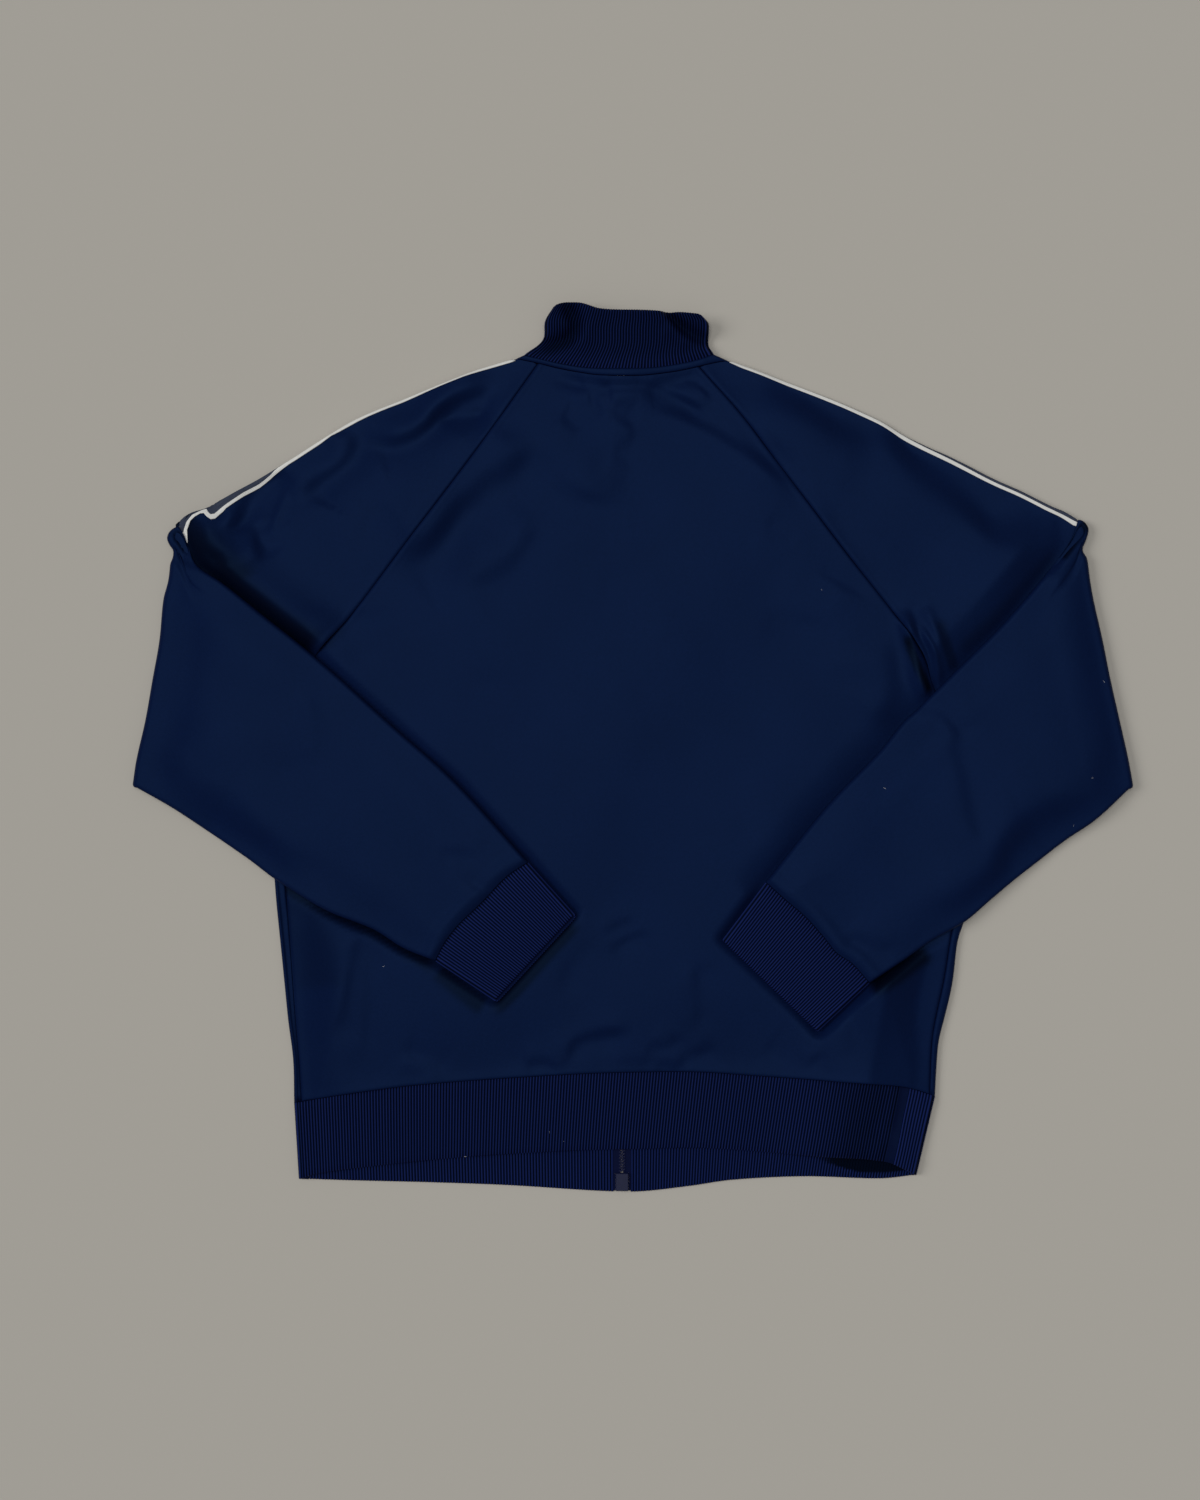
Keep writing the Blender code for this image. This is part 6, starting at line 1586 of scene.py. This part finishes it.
def zip_strip(side, start_y):
    """Half of the zip's woven strip, with a low channel under the teeth. Beside the box it is narrower."""
    beside_box = np.array((start_y - BOX_LENGTH, start_y - 0.2))
    lifted = np.linspace(ZIP_LIFT_START, ZIP_TOP, 24)
    y = np.concatenate((beside_box, np.linspace(start_y, 255.0, 60), lifted))
    base = ZIP_BASE + zip_lift(np.full(y.size, ZIP_X), y)
    # The strip runs a little way into the seam with the hem, so that no floor shows beside it.
    inner, outer = 0.9, 0.5 * ZIP_RECESS + 0.25
    low = 0.5 * BEAD_THICKNESS - 0.35
    profile = ((inner, low), (inner + 0.3, low - 0.25), (inner + 1.4, low - 0.25), (inner + 1.8, low),
               (outer, low), (outer, low + 0.7), (inner + 1.8, low + 0.7), (inner + 1.4, low + 0.95),
               (inner + 0.3, low + 0.95), (inner, low + 0.7))
    columns = []
    for across, height in profile:
        past_box = np.where(y < start_y, max(across, 0.5 * BOX_WIDTH + 0.15), across)
        columns.append(np.stack((ZIP_X + SIGN[side] * past_box, y, base + height), axis=-1))
    faces = tube_faces(y.size, len(profile), flip=side == "right")
    points = np.stack(columns, axis=1)
    return flat_shaded(make_object("zip_" + side + "_tape", points, faces, zip_tape_cloth()))


def zip_teeth(side, start_y):
    """A row of moulded teeth. The two halves' teeth take turns."""
    sign = SIGN[side]
    offset = np.array(TOOTH) - (TOOTH_MIDDLE, 0.0)
    first_y = start_y + 1.6 + (0.5 * TOOTH_PITCH if side == "right" else 0.0)
    points, faces = [], []
    for place in np.arange(first_y, 291.0, TOOTH_PITCH):
        lift = ZIP_BASE + float(zip_lift(np.array(ZIP_X), np.array(place)))
        faces += tube_faces(4, len(TOOTH), flip=side == "left", base=len(points))
        for z, size in ((0.0, 0.82), (0.3, 1.0), (BEAD_THICKNESS - 0.3, 1.0), (BEAD_THICKNESS, 0.82)):
            points += [
                (ZIP_X + sign * (TOOTH_MIDDLE + across * size), place + along * size, lift + z)
                for across, along in offset
            ]
    return flat_shaded(make_object("zip_" + side + "_teeth", points, faces, acetal()))


def build_zip(side):
    """Half of the zip: a woven strip that carries a row of moulded teeth."""
    hem = Line(FRONT_HEM_EDGE)
    start_y = hem(np.array(hem.at_x(ZIP_X)))[1] + BOX_LENGTH + 2.0 * HALF_GAP
    tape, teeth = zip_strip(side, start_y), zip_teeth(side, start_y)
    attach(tape, "garment")
    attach(teeth, "garment")
    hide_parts("zip_" + side)
    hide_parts("zip_" + side)


def finish_zip_hardware():
    """Give the box, the slider and the pull their own finishes."""
    for node, material in (("zip_box", acetal_painted_paler()), ("zip_slider", zinc()), ("zip_pull", zinc())):
        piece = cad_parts[node]
        if not len(piece.material_slots):
            piece.data.materials.append(material)
        for slot in piece.material_slots:
            slot.material = material


# Small things on the cloth


def build_lint():
    """Short bent fibres on the cloth, each a thin tube."""
    steps, sides, radius = 6, 4, 0.11
    points, faces = [], []
    for number, (x, y, length, angle) in enumerate(LINT):
        turn = math.radians(angle)
        bend = 0.5 + 0.3 * math.sin(3.0 * number)
        faces += tube_faces(steps, sides, base=len(points))
        height = None
        for t in np.arange(steps) / (steps - 1.0) - 0.5:
            px = x + length * t * math.cos(turn) - bend * (2.0 * t * t) * math.sin(turn)
            py = y + length * t * math.sin(turn) + bend * (2.0 * t * t) * math.cos(turn)
            if height is None:
                height = surface_height(px, py) + 0.08
            for around in 0.5 * math.pi * np.arange(sides):
                beside = radius * math.cos(around)
                points.append((
                    px - beside * math.sin(turn), py + beside * math.cos(turn),
                    height + radius * math.sin(around),
                ))
    made = make_object("lint", points, faces, lint_fibre())
    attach(made, "garment")


def surface_height(x, y):
    """The height of the cloth that shows at a place, in millimetres."""
    bpy.context.view_layer.update()
    graph = bpy.context.evaluated_depsgraph_get()
    start = ((x - ORIGIN[0]) * MM, (y - ORIGIN[1]) * MM, 0.2)
    hit, place, *rest = bpy.context.scene.ray_cast(graph, start, (0.0, 0.0, -1.0))
    return place[2] / MM if hit else 0.0


# The stage


def build_stage():
    studio = settings().studio
    reach = 6.0
    mesh = bpy.data.meshes.new("floor")
    corners = [(x * reach, y * reach, 0.0) for x, y in ((-1, -1), (1, -1), (1, 1), (-1, 1))]
    mesh.from_pydata(corners, [], [(0, 1, 2, 3)])
    mesh.materials.append(floor_paint())
    floor = bpy.data.objects.new("floor", mesh)
    floor.location.z = -0.0002
    bpy.context.scene.collection.objects.link(floor)

    # Two broad, distant soft boxes, so that their light is even over the whole jacket. Only the top one is
    # mirrored in the yarn's gloss.
    for name, power, tilt, turn, spread in (
        ("key", studio.key_power, studio.key_tilt, studio.key_turn, 30.0),
        ("top", studio.top_power, studio.top_tilt, studio.top_turn, 38.0),
    ):
        light = bpy.data.lights.new(name, "SUN")
        light.energy = power
        light.angle = math.radians(spread)
        light.color = (1.0, 0.99, 0.97)
        lamp = bpy.data.objects.new(name, light)
        lamp.rotation_euler = (0.0, math.radians(tilt), math.radians(turn))
        lamp.visible_glossy = name == "top"
        bpy.context.scene.collection.objects.link(lamp)
    world = bpy.data.worlds.new("studio")
    bpy.context.scene.world = world
    world.use_nodes = True
    background = world.node_tree.nodes["Background"].inputs
    background["Color"].default_value = (0.96, 0.98, 1.0, 1.0)
    background["Strength"].default_value = studio.ambient

    view = bpy.data.cameras.new("camera")
    view.type = "PERSP"
    view.lens = 60.0
    view.sensor_width = 36.0
    view.clip_start, view.clip_end = 0.01, 50.0
    camera = bpy.data.objects.new("camera", view)
    camera.location = (-0.02625, -0.00183, studio.camera_height)
    bpy.context.scene.collection.objects.link(camera)
    bpy.context.scene.camera = camera
    bpy.context.scene.view_settings.view_transform = "Standard"


# The add-on


def length(name, description, default, low, high, precision=4):
    return FloatProperty(
        name=name, description=description, default=default, min=low, max=high, unit="LENGTH",
        precision=precision)


def colour(name, description, code):
    return FloatVectorProperty(
        name=name, description=description, subtype="COLOR", size=3, min=0.0, max=1.0, default=linear(code))


def number(name, description, default, **limits):
    return FloatProperty(name=name, description=description, default=default, **limits)


class JacketSizes(bpy.types.PropertyGroup):
    knit_thickness: length("Knit thickness", "Thickness of the body cloth", 0.0012, 0.0005, 0.003)
    seam_depth: length("Seam depth", "How far cloth rolls in at a seam", 0.0006, 0.0, 0.002)
    crease_strength: number(
        "Creases", "Depth of all creases, as a share of the usual", 1.0, min=0.0, max=1.5, subtype="FACTOR")
    rib_pitch: length("Rib pitch", "Distance from one rib to the next", 0.00235, 0.0015, 0.005, 5)
    rib_relief: length("Rib relief", "Height of a rib over its furrow", 0.0006, 0.0, 0.0012, 5)
    rib_wall: length("Rib cloth", "Thickness of the folded rib cloth", 0.0022, 0.001, 0.003)
    tape_width: length("Tape width", "Width of the sleeve tape", 0.024, 0.01, 0.04)
    tape_stripe: length(
        "Tape stripe", "Width of the white stripe along each edge of the tape", 0.0028, 0.0, 0.01)
    tape_thickness: length("Tape thickness", "Thickness of the sleeve tape", 0.0005, 0.0002, 0.001, 5)


class JacketColours(bpy.types.PropertyGroup):
    navy: colour("Navy", "Body cloth", "#071436")
    gloss: colour("Gloss", "Tint of the yarn's dull gloss", "#73AAFF")
    knit_gloss: number(
        "Gloss level", "How much of the light the yarn's gloss throws back", 0.18, min=0.0, max=1.0)
    rib_crest_painted_light: colour("Rib crest", "Rib cloth on its ribs", "#182459")
    rib_furrow_painted_shade: colour("Rib furrow", "Rib cloth between its ribs", "#020512")
    slate: colour("Slate", "Middle of the sleeve tape", "#343C50")
    white: colour("White", "Edges of the sleeve tape", "#EDEDEA")
    zip_plastic: colour("Zip plastic", "Teeth of the zip", "#10173A")
    zip_metal: colour("Zip metal", "Slider and pull of the zip", "#8C8D93")


class StudioSettings(bpy.types.PropertyGroup):
    floor_colour: colour("Floor", "Colour of the plain floor", "#C0BCB4")
    key_power: number("Key light", "Strength of the soft box at the left", 1.1, min=0.0)
    key_tilt: number(
        "Key tilt", "Angle of the key light from straight above, in degrees", 55.0, min=0.0, max=85.0)
    key_turn: number(
        "Key direction", "Where the key light stands, in degrees from the wearer's right", 172.0)
    top_power: number("Top light", "Strength of the soft box overhead", 1.0, min=0.0)
    top_tilt: number(
        "Top tilt", "Angle of the top light from straight above, in degrees", 8.0, min=0.0, max=85.0)
    top_turn: number(
        "Top direction", "Where the top light stands, in degrees from the wearer's right", 120.0)
    ambient: number("Ambient light", "Even light from all round", 0.16, min=0.0, max=2.0)
    camera_height: number(
        "Camera height", "Height of the camera over the floor", 2.0, min=0.5, unit="LENGTH")


class JacketSettings(bpy.types.PropertyGroup):
    sizes: PointerProperty(type=JacketSizes)
    colours: PointerProperty(type=JacketColours)
    studio: PointerProperty(type=StudioSettings)


class Builder:
    """What the operators share. Each runs the builders of a piece with two sides, then the others."""
    for_each_side = ()
    once = ()

    def execute(self, context):
        for build in self.for_each_side:
            for side in SIDES:
                build(side)
        for build in self.once:
            build()
        return {"FINISHED"}


class JACKET_OT_front_panels(Builder, bpy.types.Operator):
    """Build both front panels, flat on the ground"""
    bl_idname = "jacket.front_panels"
    bl_label = "Front panels"
    for_each_side = (build_front_panel,)


class JACKET_OT_back_panel(Builder, bpy.types.Operator):
    """Build the back panel over the fronts"""
    bl_idname = "jacket.back_panel"
    bl_label = "Back panel"
    once = (build_back_panel,)


class JACKET_OT_sleeves(Builder, bpy.types.Operator):
    """Build both raglan sleeves, folded back at the elbows"""
    bl_idname = "jacket.sleeves"
    bl_label = "Sleeves"
    for_each_side = (build_sleeve,)


class JACKET_OT_sleeve_tapes(Builder, bpy.types.Operator):
    """Build the tape along each shoulder edge. The sleeves come first"""
    bl_idname = "jacket.sleeve_tapes"
    bl_label = "Sleeve tapes"
    for_each_side = (build_tape,)


class JACKET_OT_cuffs(Builder, bpy.types.Operator):
    """Build both ribbed cuffs"""
    bl_idname = "jacket.cuffs"
    bl_label = "Cuffs"
    for_each_side = (build_cuff,)


class JACKET_OT_hem(Builder, bpy.types.Operator):
    """Build the ribbed hem: two bands at the front and one at the back"""
    bl_idname = "jacket.hem"
    bl_label = "Hem"
    for_each_side = (build_hem_front,)
    once = (build_hem_back,)


class JACKET_OT_neck(Builder, bpy.types.Operator):
    """Build the neck band and the ribbed collar"""
    bl_idname = "jacket.neck"
    bl_label = "Neck band and collar"
    once = (build_neck_band, build_collar)


class JACKET_OT_zip(Builder, bpy.types.Operator):
    """Build the zip's strips and teeth, and finish its box, slider and pull"""
    bl_idname = "jacket.zip"
    bl_label = "Zip"
    for_each_side = (build_zip,)
    once = (finish_zip_hardware,)


class JACKET_OT_lint(Builder, bpy.types.Operator):
    """Lay a few specks of lint on the cloth"""
    bl_idname = "jacket.lint"
    bl_label = "Lint"
    once = (build_lint,)


class JACKET_OT_stage(Builder, bpy.types.Operator):
    """Build the floor, the lights and the camera"""
    bl_idname = "jacket.stage"
    bl_label = "Stage"
    once = (build_stage,)


OPERATORS = (
    JACKET_OT_front_panels, JACKET_OT_back_panel, JACKET_OT_sleeves, JACKET_OT_sleeve_tapes,
    JACKET_OT_cuffs, JACKET_OT_hem, JACKET_OT_neck, JACKET_OT_zip, JACKET_OT_lint, JACKET_OT_stage,
)


class JACKET_PT_panel(bpy.types.Panel):
    """Lists the jacket's pieces, sizes and colours"""
    bl_idname = "JACKET_PT_panel"
    bl_label = "Track jacket"
    bl_space_type = "VIEW_3D"
    bl_region_type = "UI"
    bl_category = "Jacket"

    def draw(self, context):
        for operator in OPERATORS:
            self.layout.operator(operator.bl_idname)
        jacket = context.scene.jacket
        for group in (jacket.sizes, jacket.colours, jacket.studio):
            box = self.layout.box()
            for name in group.__annotations__:
                box.prop(group, name)


CLASSES = (JacketSizes, JacketColours, StudioSettings, JacketSettings, *OPERATORS, JACKET_PT_panel)


def register():
    for each in CLASSES:
        bpy.utils.register_class(each)
    bpy.types.Scene.jacket = PointerProperty(type=JacketSettings)


def unregister():
    del bpy.types.Scene.jacket
    for each in reversed(CLASSES):
        bpy.utils.unregister_class(each)


def main():
    register()
    bpy.ops.jacket.front_panels()
    bpy.ops.jacket.back_panel()
    bpy.ops.jacket.sleeves()
    bpy.ops.jacket.sleeve_tapes()
    bpy.ops.jacket.cuffs()
    bpy.ops.jacket.hem()
    bpy.ops.jacket.neck()
    bpy.ops.jacket.zip()
    bpy.ops.jacket.lint()
    bpy.ops.jacket.stage()


if __name__ == "__main__":
    main()
